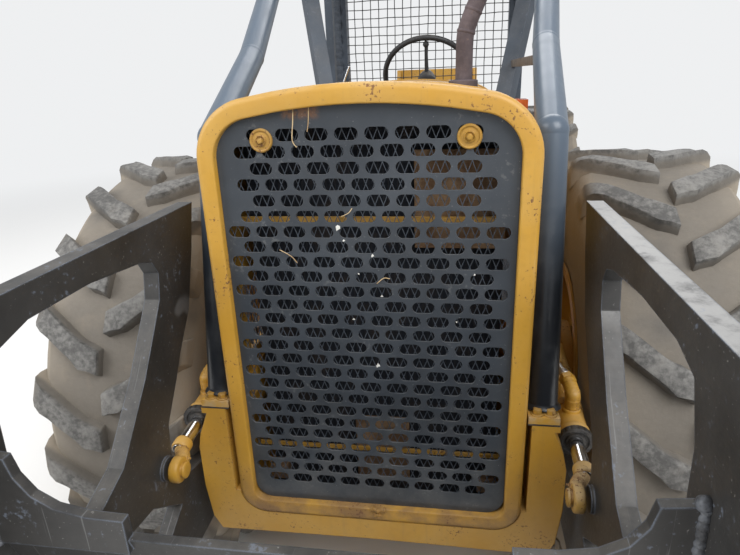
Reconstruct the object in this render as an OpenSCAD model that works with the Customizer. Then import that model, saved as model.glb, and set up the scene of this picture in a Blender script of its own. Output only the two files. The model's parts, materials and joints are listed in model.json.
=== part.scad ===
// Cable skidder: articulated log skidder with a front blade, limb risers, open cab,
// winch and rear arch. Millimetres, +Z up, front towards -Y, +X is the machine's left side.
// Lengths along the machine are written from the grille's front face (y = 0, rearward is plus).
// The module framed() then moves everything so that the whole stands centred on the origin.

/* [Wheels] */
// Radius to the tips of the tyre lugs
tyre_r = 730; // [700:1:760]
// Width of a tyre over its sidewalls
tyre_w = 450; // [420:1:460]
// Height of a tread lug
lug_h = 36; // [24:1:44]
// Width of a tread lug
lug_w = 52; // [44:1:56]
// Angle of the lugs from the axle's direction
lug_angle = 40; // [30:1:45]
// Lugs on each side of a tyre
lug_count = 20; // [16:1:20]
// Middle of a tyre from the machine's centre line
track_half = 765; // [762:1:780]
// Front axle behind the grille
front_axle_y = 770; // [765:1:790]
// Distance between the axles
wheelbase = 2540; // [2520:1:2600]
// Radius of the rim's bead seat
rim_r = 335; // [325:1:345]

/* [Grille and hood] */
// Half width of the grille frame
grille_hw = 360; // [350:1:366]
// Top of the grille frame at its middle
grille_top = 1700; // [1680:1:1730]
// Bottom of the grille frame
grille_bottom = 628; // [620:1:640]
// Width of the frame's border
grille_border = 41; // [36:1:46]
// Depth of the grille frame
grille_depth = 52; // [44:1:60]
// Length of a grille slot
slot_len = 50; // [40:1:52]
// Height of a grille slot
slot_h = 26; // [20:1:27]
// Spacing of the slots across
slot_pitch_x = 62.7; // [60:0.1:63]
// Spacing of the slot rows
slot_pitch_z = 34.6; // [33:0.1:35]
// Rows of slots
slot_rows = 26; // [20:1:26]
// Rear end of the hood
hood_end = 1250; // [1230:1:1252]
// Thickness of the hood's sheet
hood_t = 5; // [4:0.5:8]

/* [Frames and deck] */
// Top of the front frame's rails
rail_top = 990; // [986:1:994]
// Bottom of the front frame's rails
rail_bottom = 880; // [870:1:890]
// Inner face of a front rail
rail_in = 330; // [326:1:334]
// Outer face of a front rail's side plate
rail_out = 390; // [386:1:394]
// Rear end of the front rails
rail_end = 1240; // [1225:1:1248]
// Underside of the articulation plates
knuckle_bottom = 640; // [630:1:650]
// Thickness of the deck's sheet
deck_t = 10; // [8:1:14]
// Half width of the deck
deck_hw = 540; // [535:1:550]
// Rear end of the deck
deck_rear = 2430; // [2428:1:2460]
// Top of the side boxes beside the seat
side_box_top = 1360; // [1330:1:1380]
// Half width of the rear frame
rear_hw = 300; // [296:1:304]
// Top of the rear frame's rails
rear_rail_top = 960; // [956:1:964]

/* [Blade] */
// Half width of the blade
blade_hw = 1000; // [960:1:1040]
// Top of the blade's middle in the parked pose
blade_top = 1085; // [1070:1:1100]
// Bottom of the blade in the parked pose
blade_bottom = 330; // [300:1:360]
// Radius of the moldboard's curve
blade_r = 900; // [880:1:940]
// Thickness of the moldboard
blade_t = 16; // [12:1:20]
// Inner face of the arch plates
plate_x = 492; // [490:1:494]
// Thickness of the arch plates
plate_t = 38; // [32:1:38]
// Blade pivot behind the grille
blade_pivot_y = 420; // [410:1:430]
// Height of the blade pivot
blade_pivot_z = 600; // [590:1:610]
// Radius of the blade pivot pins
blade_pin_r = 30; // [26:1:34]

/* [Lift cylinders] */
// Sideways place of a lift cylinder
lift_x = 489; // [488:1:490]
// Rod eye behind the grille
lift_eye_y = -100; // [-104:1:-96]
// Height of the rod eye
lift_eye_z = 832; // [828:1:836]
// Anchor of the barrel behind the grille
lift_anchor_y = 560; // [556:1:566]
// Height of the barrel's anchor
lift_anchor_z = 893; // [889:1:897]
// Radius of the lift barrel
lift_barrel_r = 36; // [32:1:37]
// Radius of the lift rod
lift_rod_r = 18; // [15:1:19]

/* [Steering cylinders] */
// Front anchor from the centre line
steer_anchor_x = 240; // [236:1:250]
// Front anchor ahead of the articulation
steer_anchor_dy = 660; // [650:1:670]
// Rod eye from the centre line
steer_eye_x = 220; // [216:1:224]
// Height of the steering cylinders
steer_z = 800; // [795:1:805]
// Radius of the steering barrel
steer_barrel_r = 36; // [30:1:38]
// Radius of the steering rod
steer_rod_r = 18; // [15:1:20]

/* [Cab] */
// Side of the front posts' square tube
post_w = 64; // [55:1:70]
// Side of the rear posts' square tube
rear_post_w = 76; // [70:1:80]
// Top of the roof
roof_top = 2480; // [2470:1:2500]
// Front edge of the roof behind the grille
roof_front = 1620; // [1600:1:1625]
// Rear edge of the roof behind the grille
roof_rear = 2700; // [2640:1:2740]
// Half width of the roof
roof_hw = 630; // [628:1:650]
// Radius of the limb riser tubes
riser_r = 36.5; // [33:0.5:38]
// Radius of the steering wheel
wheel_r = 215; // [190:1:225]

/* [Rear] */
// Articulation pivot behind the grille
pivot_y = 2100; // [2095:1:2110]
// Radius of the articulation pins
pivot_pin_r = 35; // [30:1:40]
// Top of the rear arch
arch_top = 1740; // [1720:1:1780]
// Rear face of the butt plate behind the grille
butt_y = 4300; // [4280:1:4330]
// Radius of the winch drum's flanges
drum_r = 190; // [180:1:195]

/* [Hidden] */
rear_axle_y = front_axle_y + wheelbase;
front_y = -760;
mid_y = (front_y + butt_y) / 2;
axle_z = tyre_r;
hub_x = track_half - 175;
crown_r = 1300;
pillar_top = 1330;
blade_face_y = -505;
blade_cy = blade_face_y - blade_r;
blade_cz = 770;
ear_y = blade_cy + sqrt(blade_r * blade_r - (blade_top - blade_cz) * (blade_top - blade_cz));
edge_y = blade_cy + sqrt(blade_r * blade_r - (blade_bottom - blade_cz) * (blade_bottom - blade_cz));
post_foot = [316, 1287, pillar_top - 30];
post_head = [563, 1781, roof_top - 60];
riser_low = [399, 64, 958];
riser_bend = [398, 195, 1580];
riser_mid = [430, 620, 1775];
riser_head = [545, 1665, roof_top - 80];
rear_post_x = 456;
rear_post_y = 2350;
deck_z = rail_top + deck_t;
lift_len = norm([lift_anchor_y - lift_eye_y, lift_anchor_z - lift_eye_z]);
lift_angle = atan2(lift_anchor_z - lift_eye_z, lift_anchor_y - lift_eye_y);
lift_gland = 185;
steer_len = norm([steer_anchor_x - steer_eye_x, steer_anchor_dy]);
steer_angle = atan2(steer_anchor_x - steer_eye_x, steer_anchor_dy);
steer_gland = 435;
wheel_hub = [35, 1800, 1700];
wheel_tilt = 35;
winch_y = 3130;
winch_z = 1190;
arch_y = 4020;
roller_z = 1330;

// Quarter round of the grille frame's outer edge: how far each step is set in, and its depths
edge_inset = [9, 5, 2.5, 0.8];
edge_depth = [0, 1.5, 4, 8, 13];
slot_top = grille_top - 100;
bead_x = tyre_w / 2 - 21;
lug_reach = (tyre_w / 2 - 3 - 118 - lug_w / 2 * sin(lug_angle)) / cos(lug_angle);
// Slots of a row: the staggered rows have nine, the others ten, or eight near the top
function slots_in(row) = row % 2 == 1 ? 9 : row < 5 ? 8 : 10;

// Half of the tyre's section from the bead to the tread: radius, distance from the middle
tyre_half = [[rim_r + 0.3, bead_x - 3], [540, tyre_w / 2],
  [650, tyre_w / 2 - 14], [tyre_r - lug_h - 2, tyre_w / 2 - 60]];

// Colours of the preview
yellow = [0.86, 0.60, 0.16];
black = [0.07, 0.07, 0.08];
steel = [0.75, 0.75, 0.76];
rubber = [0.30, 0.26, 0.22];
dark = [0.16, 0.18, 0.22];

// Moves what was drawn from the grille's front face to the shared frame
module framed() {
  translate([0, -mid_y, 0]) children();
}

// Draws the children on the left side and mirrored on the right side
module both() {
  children();
  mirror([1, 0, 0]) children();
}

// Draws the children on one side, 1 for left and -1 for right
module side(s) {
  if (s > 0) children();
  if (s < 0) mirror([1, 0, 0]) children();
}

// A box between two corners
module box(x0, x1, y0, y1, z0, z1) {
  translate([x0, y0, z0]) cube([x1 - x0, y1 - y0, z1 - z0]);
}

// A round bar between two points
module rod(p, q, r) {
  v = q - p;
  l = norm(v);
  translate(p) rotate([0, acos(v[2] / l), atan2(v[1], v[0])]) cylinder(h = l, r = r, $fn = 48);
}

// A square tube's outline between two points
module bar(p, q, w) {
  v = q - p;
  l = norm(v);
  translate(p) rotate([0, acos(v[2] / l), atan2(v[1], v[0])])
    translate([-w / 2, -w / 2, 0]) cube([w, w, l]);
}

// A round bar across the machine
module cross_bar(x0, x1, y, z, r) {
  translate([x0, y, z]) rotate([0, 90, 0]) cylinder(h = x1 - x0, r = r, $fn = 48);
}

// A plate seen from the side, points are [y, z]
module side_plate(pts, x0, x1) {
  translate([x0, 0, 0]) rotate([90, 0, 90]) linear_extrude(x1 - x0) polygon(pts);
}

// A plate seen from the front, points are [x, z]
module front_plate(pts, y0, y1) {
  translate([0, y1, 0]) rotate([90, 0, 0]) linear_extrude(y1 - y0) polygon(pts);
}

// A plate seen from above, points are [x, y]
module flat_plate(pts, z0, z1) {
  translate([0, 0, z0]) linear_extrude(z1 - z0) polygon(pts);
}

// Points on an arc
function arc(cx, cz, r, a0, a1, n) =
  [for (i = [0:n]) [cx + r * cos(a0 + (a1 - a0) * i / n), cz + r * sin(a0 + (a1 - a0) * i / n)]];

// Mirrors an outline's right half and closes it
function closed(half) =
  concat(half, [for (i = [len(half) - 1:-1:0]) if (half[i][0] > 0.01) [-half[i][0], half[i][1]]]);

// Rear of the moldboard at a height
function blade_back(z) =
  blade_cy + sqrt((blade_r + blade_t) * (blade_r + blade_t) - (z - blade_cz) * (z - blade_cz));

// Outline of the crowned grille frame, set in by d
function grille_outline(d, rt, rb) =
  let (hw = grille_hw - d, top = grille_top - d, bottom = grille_bottom + d,
    cx = hw - rt, cz = top - rt - (cx * cx) / (2 * crown_r) - 2)
  closed(concat([[0, bottom]], arc(hw - rb, bottom + rb, rb, -90, 0, 5),
    arc(cx, cz, rt, 0, 78, 8),
    [for (t = [0.75, 0.5, 0.25, 0]) [cx * t, top - cx * t * cx * t / (2 * crown_r)]]));

// Front frame with bumper, side rails, axle saddles, pivot bosses and articulation plates
bumper_pts = closed([[0, 566], [425, 560], [446, 600], [457, 700], [457, 820], [448, 862],
  [424, 922], [0, 922]]);

// Articulation plate, seen from above
knuckle_pts = closed([[0, 1650], [150, 1650], [112, pivot_y - 40], [84, pivot_y + 60],
  [0, pivot_y + 90]]);

module front_frame() framed() color(yellow) {
  difference() {
    union() {
      difference() {
        front_plate(bumper_pts, 6, 64);
        front_plate(grille_outline(-0.3, 130, 70), 0, 70);
        box(-372, 372, 0, 70, 690, 930);
      }
      both() {
        box(372, 424, 64, 128, 700, 922);
        box(372, 436, 6, 128, 922, 940);
        box(rail_out - 20, rail_out, 64, 140, 600, 922);
        box(rail_out - 20, rail_out, 140, 500, 600, rail_top);
        box(rail_in, rail_out - 20, 64, 140, rail_bottom, 922);
        box(rail_in, rail_out - 20, 140, rail_end, rail_bottom, rail_top);
        box(rail_out - 20, rail_out, 500, rail_end, rail_bottom, rail_top);
        box(rail_in, rail_out, front_axle_y - 120, front_axle_y + 120, axle_z - 30, rail_bottom);
        box(rail_out, 446, lift_anchor_y - 45, lift_anchor_y + 45, lift_anchor_z - 43,
          lift_anchor_z + 47);
        cross_bar(rail_out, plate_x - 3, blade_pivot_y, blade_pivot_z + 10, 56);
        cross_bar(440, 522, lift_anchor_y, lift_anchor_z, 18);
        cross_bar(440, 464, lift_anchor_y, lift_anchor_z, 32);
        box(150, 285, pivot_y - steer_anchor_dy - 45, pivot_y - steer_anchor_dy + 45,
          steer_z + 32, steer_z + 50);
        box(150, 285, pivot_y - steer_anchor_dy - 45, pivot_y - steer_anchor_dy + 45,
          steer_z - 50, steer_z - 32);
        translate([steer_anchor_x, pivot_y - steer_anchor_dy, steer_z - 56])
          cylinder(h = 112, r = 18, $fn = 48);
      }
      box(-rail_out, rail_out, 64, 500, 580, 600);
      box(20 - rail_out, rail_out - 20, 480, 500, 600, rail_bottom);
      box(-rail_in, rail_in, 64, 100, 600, 626);
      box(-rail_in, rail_in, rail_end - 50, rail_end, rail_bottom, rail_top);
      box(-190, 190, rail_end - 50, 1395, knuckle_bottom, rail_top);
      box(-190, 190, 1040, rail_end - 50, knuckle_bottom, rail_bottom + 40);
      box(-150, 150, 1395, 1650, knuckle_bottom, rail_top);
      box(-90, 90, 1650, 1880, knuckle_bottom, rail_top);
      flat_plate(knuckle_pts, rail_top - 60, rail_top);
      flat_plate(knuckle_pts, knuckle_bottom, knuckle_bottom + 50);
      translate([0, pivot_y, knuckle_bottom])
        cylinder(h = rail_top - knuckle_bottom, r = pivot_pin_r, $fn = 48);
      both() cross_bar(380, plate_x + plate_t + 4, blade_pivot_y, blade_pivot_z, blade_pin_r);
    }
    cross_bar(-500, 500, front_axle_y, axle_z, 84.3);
  }
}

// One axle, turned in one piece: stub shafts, end flanges, housing tube and differential
module axle_shape(y) {
  half = [[45, hub_x + 100], [45, hub_x], [130, hub_x], [130, hub_x - 35], [84, hub_x - 35],
    [84, 190], [104, 168], [150, 120], [172, 62], [178, 20]];
  translate([0, y, axle_z]) rotate([0, 90, 0]) rotate_extrude($fn = 96)
    polygon(concat([[0, hub_x + 100]], half,
      [for (i = [len(half) - 1:-1:0]) [half[i][0], -half[i][1]]], [[0, -hub_x - 100]]));
}

module front_axle() framed() color(yellow) {
  axle_shape(front_axle_y);
}

module rear_axle() framed() color(yellow) {
  axle_shape(rear_axle_y);
}

module radiator() framed() color(dark) {
  box(-300, 300, 130, 230, 600, 1560);
  box(-290, 290, 120, 240, 1560, 1620);
}

// The engine is one plain block on its four mounts
module engine() framed() color(yellow) {
  box(-210, 210, 330, 1180, 930, 1500);
  both() {
    box(210, rail_in, 420, 500, 940, rail_top - 5);
    box(210, rail_in, 1020, 1100, 940, rail_top - 5);
  }
}

module grille_frame() framed() color(yellow) {
  difference() {
    union() {
      for (i = [0:3]) front_plate(grille_outline(edge_inset[i], 130 - edge_inset[i],
        70 - edge_inset[i]), edge_depth[i], edge_depth[i + 1]);
      front_plate(grille_outline(0, 130, 70), edge_depth[4], grille_depth);
    }
    front_plate(grille_outline(grille_border, 60, 45), -1, grille_depth + 1);
  }
}

// Places its children at every slot of the panel
module at_slots() {
  for (row = [0:slot_rows - 1], i = [0:slots_in(row) - 1])
    let (x = (i - (slots_in(row) - 1) / 2) * slot_pitch_x - 3, z = slot_top - row * slot_pitch_z)
      if (abs(x) + slot_len / 2 < grille_hw - grille_border - 6
        && z - slot_h / 2 > grille_bottom + grille_border + 30)
        translate([x, z]) children();
}

// Sheet with staggered round-ended slots
module grille_panel() framed() color(black) {
  translate([0, 22, 0]) rotate([90, 0, 0]) linear_extrude(4) difference() {
    polygon(grille_outline(grille_border + 0.2, 60, 45));
    at_slots() {
      square([slot_len - slot_h, slot_h], center = true);
      for (s = [-1, 1]) translate([s * (slot_len - slot_h) / 2, 0]) circle(d = slot_h, $fn = 16);
    }
  }
}

// Hood of crowned sheet with its rear wall
module hood() framed() color(yellow) {
  difference() {
    intersection() {
      front_plate(grille_outline(14, 122, 60), grille_depth, hood_end);
      box(-500, 500, grille_depth, hood_end, 1250, 1800);
    }
    front_plate(grille_outline(14 + hood_t, 117, 55), grille_depth - 1, hood_end - 8);
  }
}

module side_screens() framed() color(yellow) {
  both() {
    difference() {
      box(grille_hw - 20, grille_hw - 14, grille_depth, hood_end, rail_top, 1250);
      box(300, 400, 140, 620, 1030, 1215);
      box(300, 400, 680, hood_end - 70, 1030, 1215);
    }
  }
}

module exhaust() framed() color([0.35, 0.24, 0.18]) {
  difference() {
    union() {
      rod([205, 950, 1640], [205, 950, 1800], 32);
      translate([205, 950, 1800]) sphere(r = 33, $fn = 48);
      rod([205, 950, 1800], [277, 955, 1930], 32);
      translate([277, 955, 1930]) sphere(r = 33, $fn = 48);
      rod([277, 955, 1930], [290, 958, 2020], 32);
      translate([205, 950, 1640]) cylinder(h = 46, r = 50, $fn = 48);
    }
    front_plate(grille_outline(14, 122, 60), grille_depth, hood_end);
    rod([283, 956.5, 1975], [290.5, 958.2, 2023], 28);
  }
}

module marker_light() framed() color([0.9, 0.35, 0.08]) {
  box(grille_hw - 14, grille_hw - 8, 484, 526, 1480, 1570);
  box(grille_hw - 14, grille_hw + 14, 470, 540, 1570, 1636);
}

// Round tubes from the bumper's horns past the hood up to the roof
module limb_risers() framed() color(dark) {
  both() {
    box(363, 434, 8, 126, 940, 958);
    rod(riser_low, riser_bend, riser_r);
    translate(riser_bend) sphere(r = riser_r + 1, $fn = 48);
    rod(riser_bend, riser_mid, riser_r);
    translate(riser_mid) sphere(r = riser_r + 1, $fn = 48);
    rod(riser_mid, riser_head, riser_r);
    box(riser_head[0] - 38, riser_head[0] + 38, riser_head[1] - 38, riser_head[1] + 38,
      riser_head[2] - 12, roof_top - 40);
  }
}

module cab_frame() framed() color(dark) {
  difference() {
    union() {
      side_plate([[roof_front, roof_top - 40], [roof_front - 6, roof_top - 28],
        [roof_front + 24, roof_top], [roof_rear - 24, roof_top], [roof_rear, roof_top - 18],
        [roof_rear, roof_top - 40]], -roof_hw, roof_hw);
      both() {
        bar(post_foot, post_head + [5, 10, 22.7], post_w);
        box(rear_post_x, rear_post_x + rear_post_w, rear_post_y, rear_post_y + rear_post_w,
          deck_z, roof_top - 40);
        box(rear_post_x + 10, rear_post_x + 50, 2020, 2060, deck_z, roof_top - 40);
        box(rear_post_x + 10, rear_post_x + 50, 2060, rear_post_y, 1420, 1460);
        side_plate([[rear_post_y - 150, roof_top - 40], [rear_post_y, roof_top - 40],
          [rear_post_y, roof_top - 190]], rear_post_x + 33, rear_post_x + 45);
      }
      box(-rear_post_x, rear_post_x, rear_post_y, rear_post_y + 60, 1400, 1450);
    }
    box(-900, 900, 1000, 2000, 900, pillar_top);
  }
}

// Floor, cowl, front pillars, side boxes and seat base
module platform() framed() color(yellow) {
  box(35 - deck_hw, deck_hw - 35, 1250, 1490, rail_top, deck_z);
  box(-deck_hw, deck_hw, 1490, deck_rear, rail_top, deck_z);
  box(-272, 272, 1250, 1400, deck_z, 1640);
  both() {
    box(272, 362, 1254, 1350, deck_z, pillar_top);
    box(340, rear_post_x - 6, 1500, rear_post_y - 10, deck_z, side_box_top);
  }
}

// Wires of the rear screen, an upright layer and a level layer
module rear_screen() framed() color(black) {
  y = rear_post_y + 20;
  for (i = [0:17]) box(-428 + i * 50, -422 + i * 50, y, y + 5, 1450, roof_top - 40);
  for (z = [1480:50:roof_top - 60]) box(-rear_post_x, rear_post_x, y + 5, y + 10, z, z + 6);
}

// Expanded metal between the middle and rear posts of each side
module cab_mesh() framed() color(black) {
  both() {
    difference() {
      box(rear_post_x + 28, rear_post_x + 32, 2060, rear_post_y, 1460, roof_top - 40);
      for (i = [0:4], j = [0:floor((roof_top - 1600) / 96)])
        side_plate([[2075 + i * 54, 1520 + j * 96], [2098 + i * 54, 1480 + j * 96],
          [2121 + i * 54, 1520 + j * 96], [2098 + i * 54, 1560 + j * 96]],
          rear_post_x, rear_post_x + 60);
    }
  }
}

module seat() framed() color(black) {
  box(-160, 160, 1900, 2200, deck_z, 1330);
  box(-235, 235, 1840, 2260, 1330, 1420);
  box(-225, 225, 2230, 2320, 1420, 1860);
  both() box(235, 300, 1900, 2240, 1480, 1530);
  both() box(225, 300, 2240, 2300, 1420, 1530);
}

// Steering wheel with three spokes on its sloping column
module steering_wheel() framed() color(black) {
  n = [0, cos(wheel_tilt), sin(wheel_tilt)];
  difference() {
    rod(wheel_hub - 520 * n, wheel_hub, 24);
    box(-300, 300, 1200, 1400, 1000, 1800);
  }
  translate(wheel_hub) rotate([wheel_tilt - 90, 0, 0]) {
    rotate_extrude($fn = 72) translate([wheel_r, 0]) circle(r = 13, $fn = 24);
    translate([0, 0, -16]) cylinder(h = 30, r = 42, $fn = 48);
    for (a = [-90, 30, 150]) rotate([0, 0, a]) translate([30, -9, -5]) cube([wheel_r - 34, 18, 10]);
  }
}

// Tank with its lower edges rounded, and the neck on its step out of the platform's way
module fuel_tank() framed() color(yellow) {
  translate([0, 1330, 0]) rotate([-90, 0, 0]) linear_extrude(310)
    mirror([0, 1]) polygon(concat([[-300, rail_top], [-500, rail_top]],
      arc(-440, 760, 60, 180, 270, 6), arc(-360, 760, 60, 270, 360, 6)));
  translate([-520, 1480, 930]) rotate([0, 90, 0]) cylinder(h = 30, r = 32, $fn = 36);
}

module battery_box() framed() color(black) {
  box(300, 500, 1330, 1640, 760, rail_top);
  box(340, 520, 1360, 1600, 560, 580);
  box(350, 370, 1380, 1400, 580, 760);
  box(350, 370, 1560, 1580, 580, 760);
}

// Moldboard in three lengths between and outside the arch plates, with ears and cutting edge
module moldboard(x0, x1) {
  intersection() {
    difference() {
      cross_bar(x0, x1, blade_cy, blade_cz, blade_r + blade_t);
      cross_bar(x0 - 1, x1 + 1, blade_cy, blade_cz, blade_r);
    }
    box(x0, x1, blade_cy, -400, blade_bottom, blade_top);
  }
  side_plate([[edge_y - 20, blade_bottom - 30], [edge_y + 2, blade_bottom - 30],
    [edge_y + 32, blade_bottom + 66], [edge_y + 14, blade_bottom + 72]], x0, x1);
  for (z = [500, 910]) box(x0, x1, blade_back(z) - 8, blade_back(z) + 40, z - 30, z + 30);
}

module blade() framed() color(black) {
  moldboard(-plate_x, plate_x);
  both() {
    moldboard(plate_x + plate_t, blade_hw);
    translate([0, 0, blade_top]) {
      front_plate([[272, -23], [272, 37], [330, 39], [378, 49], [410, 69], [430, 99],
        [438, 131], [plate_x, 137], [plate_x, -23]], ear_y - 4, ear_y + 13);
      front_plate([[plate_x + plate_t, -23], [plate_x + plate_t, 137], [640, 125], [760, 45],
        [780, -23]], ear_y - 4, ear_y + 13);
    }
  }
}

// Arch plates with their lower arms, seen from the side
arch_pts = [[-760, 1416], [225, 1416], [186, 1297], [125, 1155], [54, 1074], [10, 1012],
  [-57, 929], [-66, 872], [-70, 800], [-24, 750], [60, 728], [200, 694], [420, 676], [458, 666], [486, 638],
  [496, 600], [486, 562], [458, 534], [420, 524], [100, 520], [-300, 500], [-500, 470],
  [-640, 560], [-648, 760], [-668, 940], [-740, 1200]];
hole_pts = [[10, 1294], [-4, 1233], [-117, 1086], [-250, 948], [-343, 914], [-430, 916],
  [-480, 950], [-496, 1010], [-505, 1150], [-500, 1260], [-467, 1338], [-398, 1357],
  [-234, 1358], [-57, 1340], [-10, 1326]];

module blade_arms() framed() color(black) {
  both() {
    difference() {
      side_plate(arch_pts, plate_x, plate_x + plate_t);
      side_plate(hole_pts, plate_x - 1, plate_x + plate_t + 1);
      side_plate([[-400, 720], [-330, 800], [-180, 780], [-60, 690], [-180, 620], [-380, 620]],
        plate_x - 1, plate_x + plate_t + 1);
      cross_bar(plate_x - 1, plate_x + plate_t + 1, blade_pivot_y, blade_pivot_z,
        blade_pin_r + 0.05);
    }
    cross_bar(plate_x - 8, plate_x, lift_eye_y, lift_eye_z, 30);
  }
  cross_bar(-plate_x, plate_x, -270, 560, 50);
}

// Places its children along the lift cylinder, x running from the rod eye to the anchor
module along_lift() {
  translate([0, lift_eye_y, lift_eye_z]) rotate([lift_angle, 0, 0]) children();
}

module lift_barrel() {
  along_lift() {
    difference() {
      union() {
        translate([lift_x, lift_gland + 14, 0]) rotate([-90, 0, 0])
          cylinder(h = lift_len - lift_gland - 64, r = lift_barrel_r, $fn = 48);
        translate([lift_x - 23, lift_len - 70, -26]) cube([46, 70, 52]);
        translate([lift_x, lift_gland, 0]) rotate([-90, 0, 0])
          cylinder(h = 26, r = lift_barrel_r + 4, $fn = 48);
        translate([lift_x - 23, lift_len, 0]) rotate([0, 90, 0])
          cylinder(h = 46, r = 34, $fn = 48);
        translate([lift_x, lift_gland + 80, 0]) cylinder(h = 78, r = 18, $fn = 36);
      }
      translate([lift_x - 30, lift_len, 0]) rotate([0, 90, 0])
        cylinder(h = 60, r = 18.05, $fn = 48);
      translate([lift_x, lift_gland - 1, 0]) rotate([-90, 0, 0])
        cylinder(h = 400, r = lift_rod_r + 0.05, $fn = 48);
    }
    translate([lift_x, lift_gland + 80, 78]) sphere(r = 18, $fn = 36);
    rod([lift_x, lift_gland + 80, 78], [lift_x - 12, lift_gland + 170, 84], 10);
  }
}

module lift_rod() {
  along_lift() {
    translate([lift_x, 62, 0]) rotate([-90, 0, 0]) cylinder(h = 360, r = lift_rod_r, $fn = 48);
    translate([lift_x, 62, 0]) rotate([-90, 0, 0]) cylinder(h = 30, r = 24, $fn = 48);
    rod([462, 32, 0], [lift_x, 86, 0], 14);
    translate([449, 0, -13]) cube([26, 44, 26]);
    translate([447, 0, 0]) rotate([0, 90, 0]) cylinder(h = 30, r = 34, $fn = 48);
    translate([441, 0, 0]) rotate([0, 90, 0]) cylinder(h = 41, r = 18, $fn = 48);
  }
}

module lift_barrel_left() framed() color(yellow) lift_barrel();
module lift_barrel_right() framed() color(yellow) mirror([1, 0, 0]) lift_barrel();
module lift_rod_left() framed() color(steel) lift_rod();
module lift_rod_right() framed() color(steel) mirror([1, 0, 0]) lift_rod();

// Places its children along the steering cylinder, y running from the anchor to the rod eye
module along_steer() {
  translate([steer_anchor_x, pivot_y - steer_anchor_dy, steer_z])
    rotate([0, 0, steer_angle]) children();
}

module steering_barrel() {
  along_steer() {
    difference() {
      union() {
        translate([0, 58, 0]) rotate([-90, 0, 0])
          cylinder(h = steer_gland - 58, r = steer_barrel_r, $fn = 48);
        translate([-22, 0, -24]) cube([44, 76, 48]);
        translate([0, 0, -27]) cylinder(h = 54, r = 36, $fn = 48);
      }
      translate([0, 0, -30]) cylinder(h = 60, r = 18.05, $fn = 48);
      translate([0, 60, 0]) rotate([-90, 0, 0])
        cylinder(h = steer_gland, r = steer_rod_r + 0.05, $fn = 48);
    }
  }
}

module steering_rod() {
  along_steer() {
    translate([0, 225, 0]) rotate([-90, 0, 0])
      cylinder(h = steer_len - 245, r = steer_rod_r, $fn = 48);
    translate([0, steer_len, -20]) cylinder(h = 40, r = 34, $fn = 48);
  }
}

module steering_barrel_left() framed() color(yellow) steering_barrel();
module steering_barrel_right() framed() color(yellow) mirror([1, 0, 0]) steering_barrel();
module steering_rod_left() framed() color(steel) steering_rod();
module steering_rod_right() framed() color(steel) mirror([1, 0, 0]) steering_rod();

// One tread bar, centred on its place at the top of the tyre
module lug() {
  top = sqrt(tyre_r * tyre_r - 106 * 106);
  rotate([0, 0, lug_angle]) translate([0, lug_w / 2, 0]) rotate([90, 0, 0]) linear_extrude(lug_w)
    polygon([[-118, 670], [-118, top], [lug_reach - 32, top], [lug_reach, top - 60],
      [lug_reach - 22, 640]]);
}

// One tyre standing at the origin, its lugs pointing for forward travel
module tyre() {
  rotate([0, 90, 0]) rotate_extrude($fn = 24)
    polygon([for (s = [-1, 1], p = s < 0 ? tyre_half : [for (i = [len(tyre_half) - 1:-1:0]) tyre_half[i]])
      [p[0], s * p[1]]]);
  for (i = [0:lug_count - 1]) {
    rotate([i * 360 / lug_count, 0, 0]) translate([118, 0, 0]) lug();
    rotate([(i + 0.5) * 360 / lug_count, 0, 0]) mirror([1, 0, 0]) translate([118, 0, 0]) lug();
  }
}

module tyre_at(s, y) framed() color(rubber) {
  translate([s * track_half, y, axle_z]) tyre();
}

// One rim drawn for the left side: seat, flanges, disc and hub
module rim() {
  difference() {
    rotate([0, 90, 0]) rotate_extrude($fn = 96)
      polygon([[0, -164], [110, -164], [110, -70], [250, -70], [rim_r - 16, -108],
        [rim_r - 16, -bead_x - 8], [rim_r + 15, -bead_x - 8], [rim_r + 15, -bead_x - 0.3],
        [rim_r, -bead_x - 0.3], [rim_r, bead_x + 0.3], [rim_r + 15, bead_x + 0.3],
        [rim_r + 15, bead_x + 8], [rim_r - 16, bead_x + 8], [rim_r - 16, -90], [250, -52],
        [110, -52],
        [100, -36], [0, -36]]);
    translate([-170, 0, 0]) rotate([0, 90, 0]) cylinder(h = 100, r = 45.05, $fn = 48);
  }
}

module rim_at(s, y) framed() color(yellow) {
  translate([s * track_half, y, axle_z]) side(s) rim();
}

module tyre_front_left() tyre_at(1, front_axle_y);
module tyre_front_right() tyre_at(-1, front_axle_y);
module tyre_rear_left() tyre_at(1, rear_axle_y);
module tyre_rear_right() tyre_at(-1, rear_axle_y);
module rim_front_left() rim_at(1, front_axle_y);
module rim_front_right() rim_at(-1, front_axle_y);
module rim_rear_left() rim_at(1, rear_axle_y);
module rim_rear_right() rim_at(-1, rear_axle_y);

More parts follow.
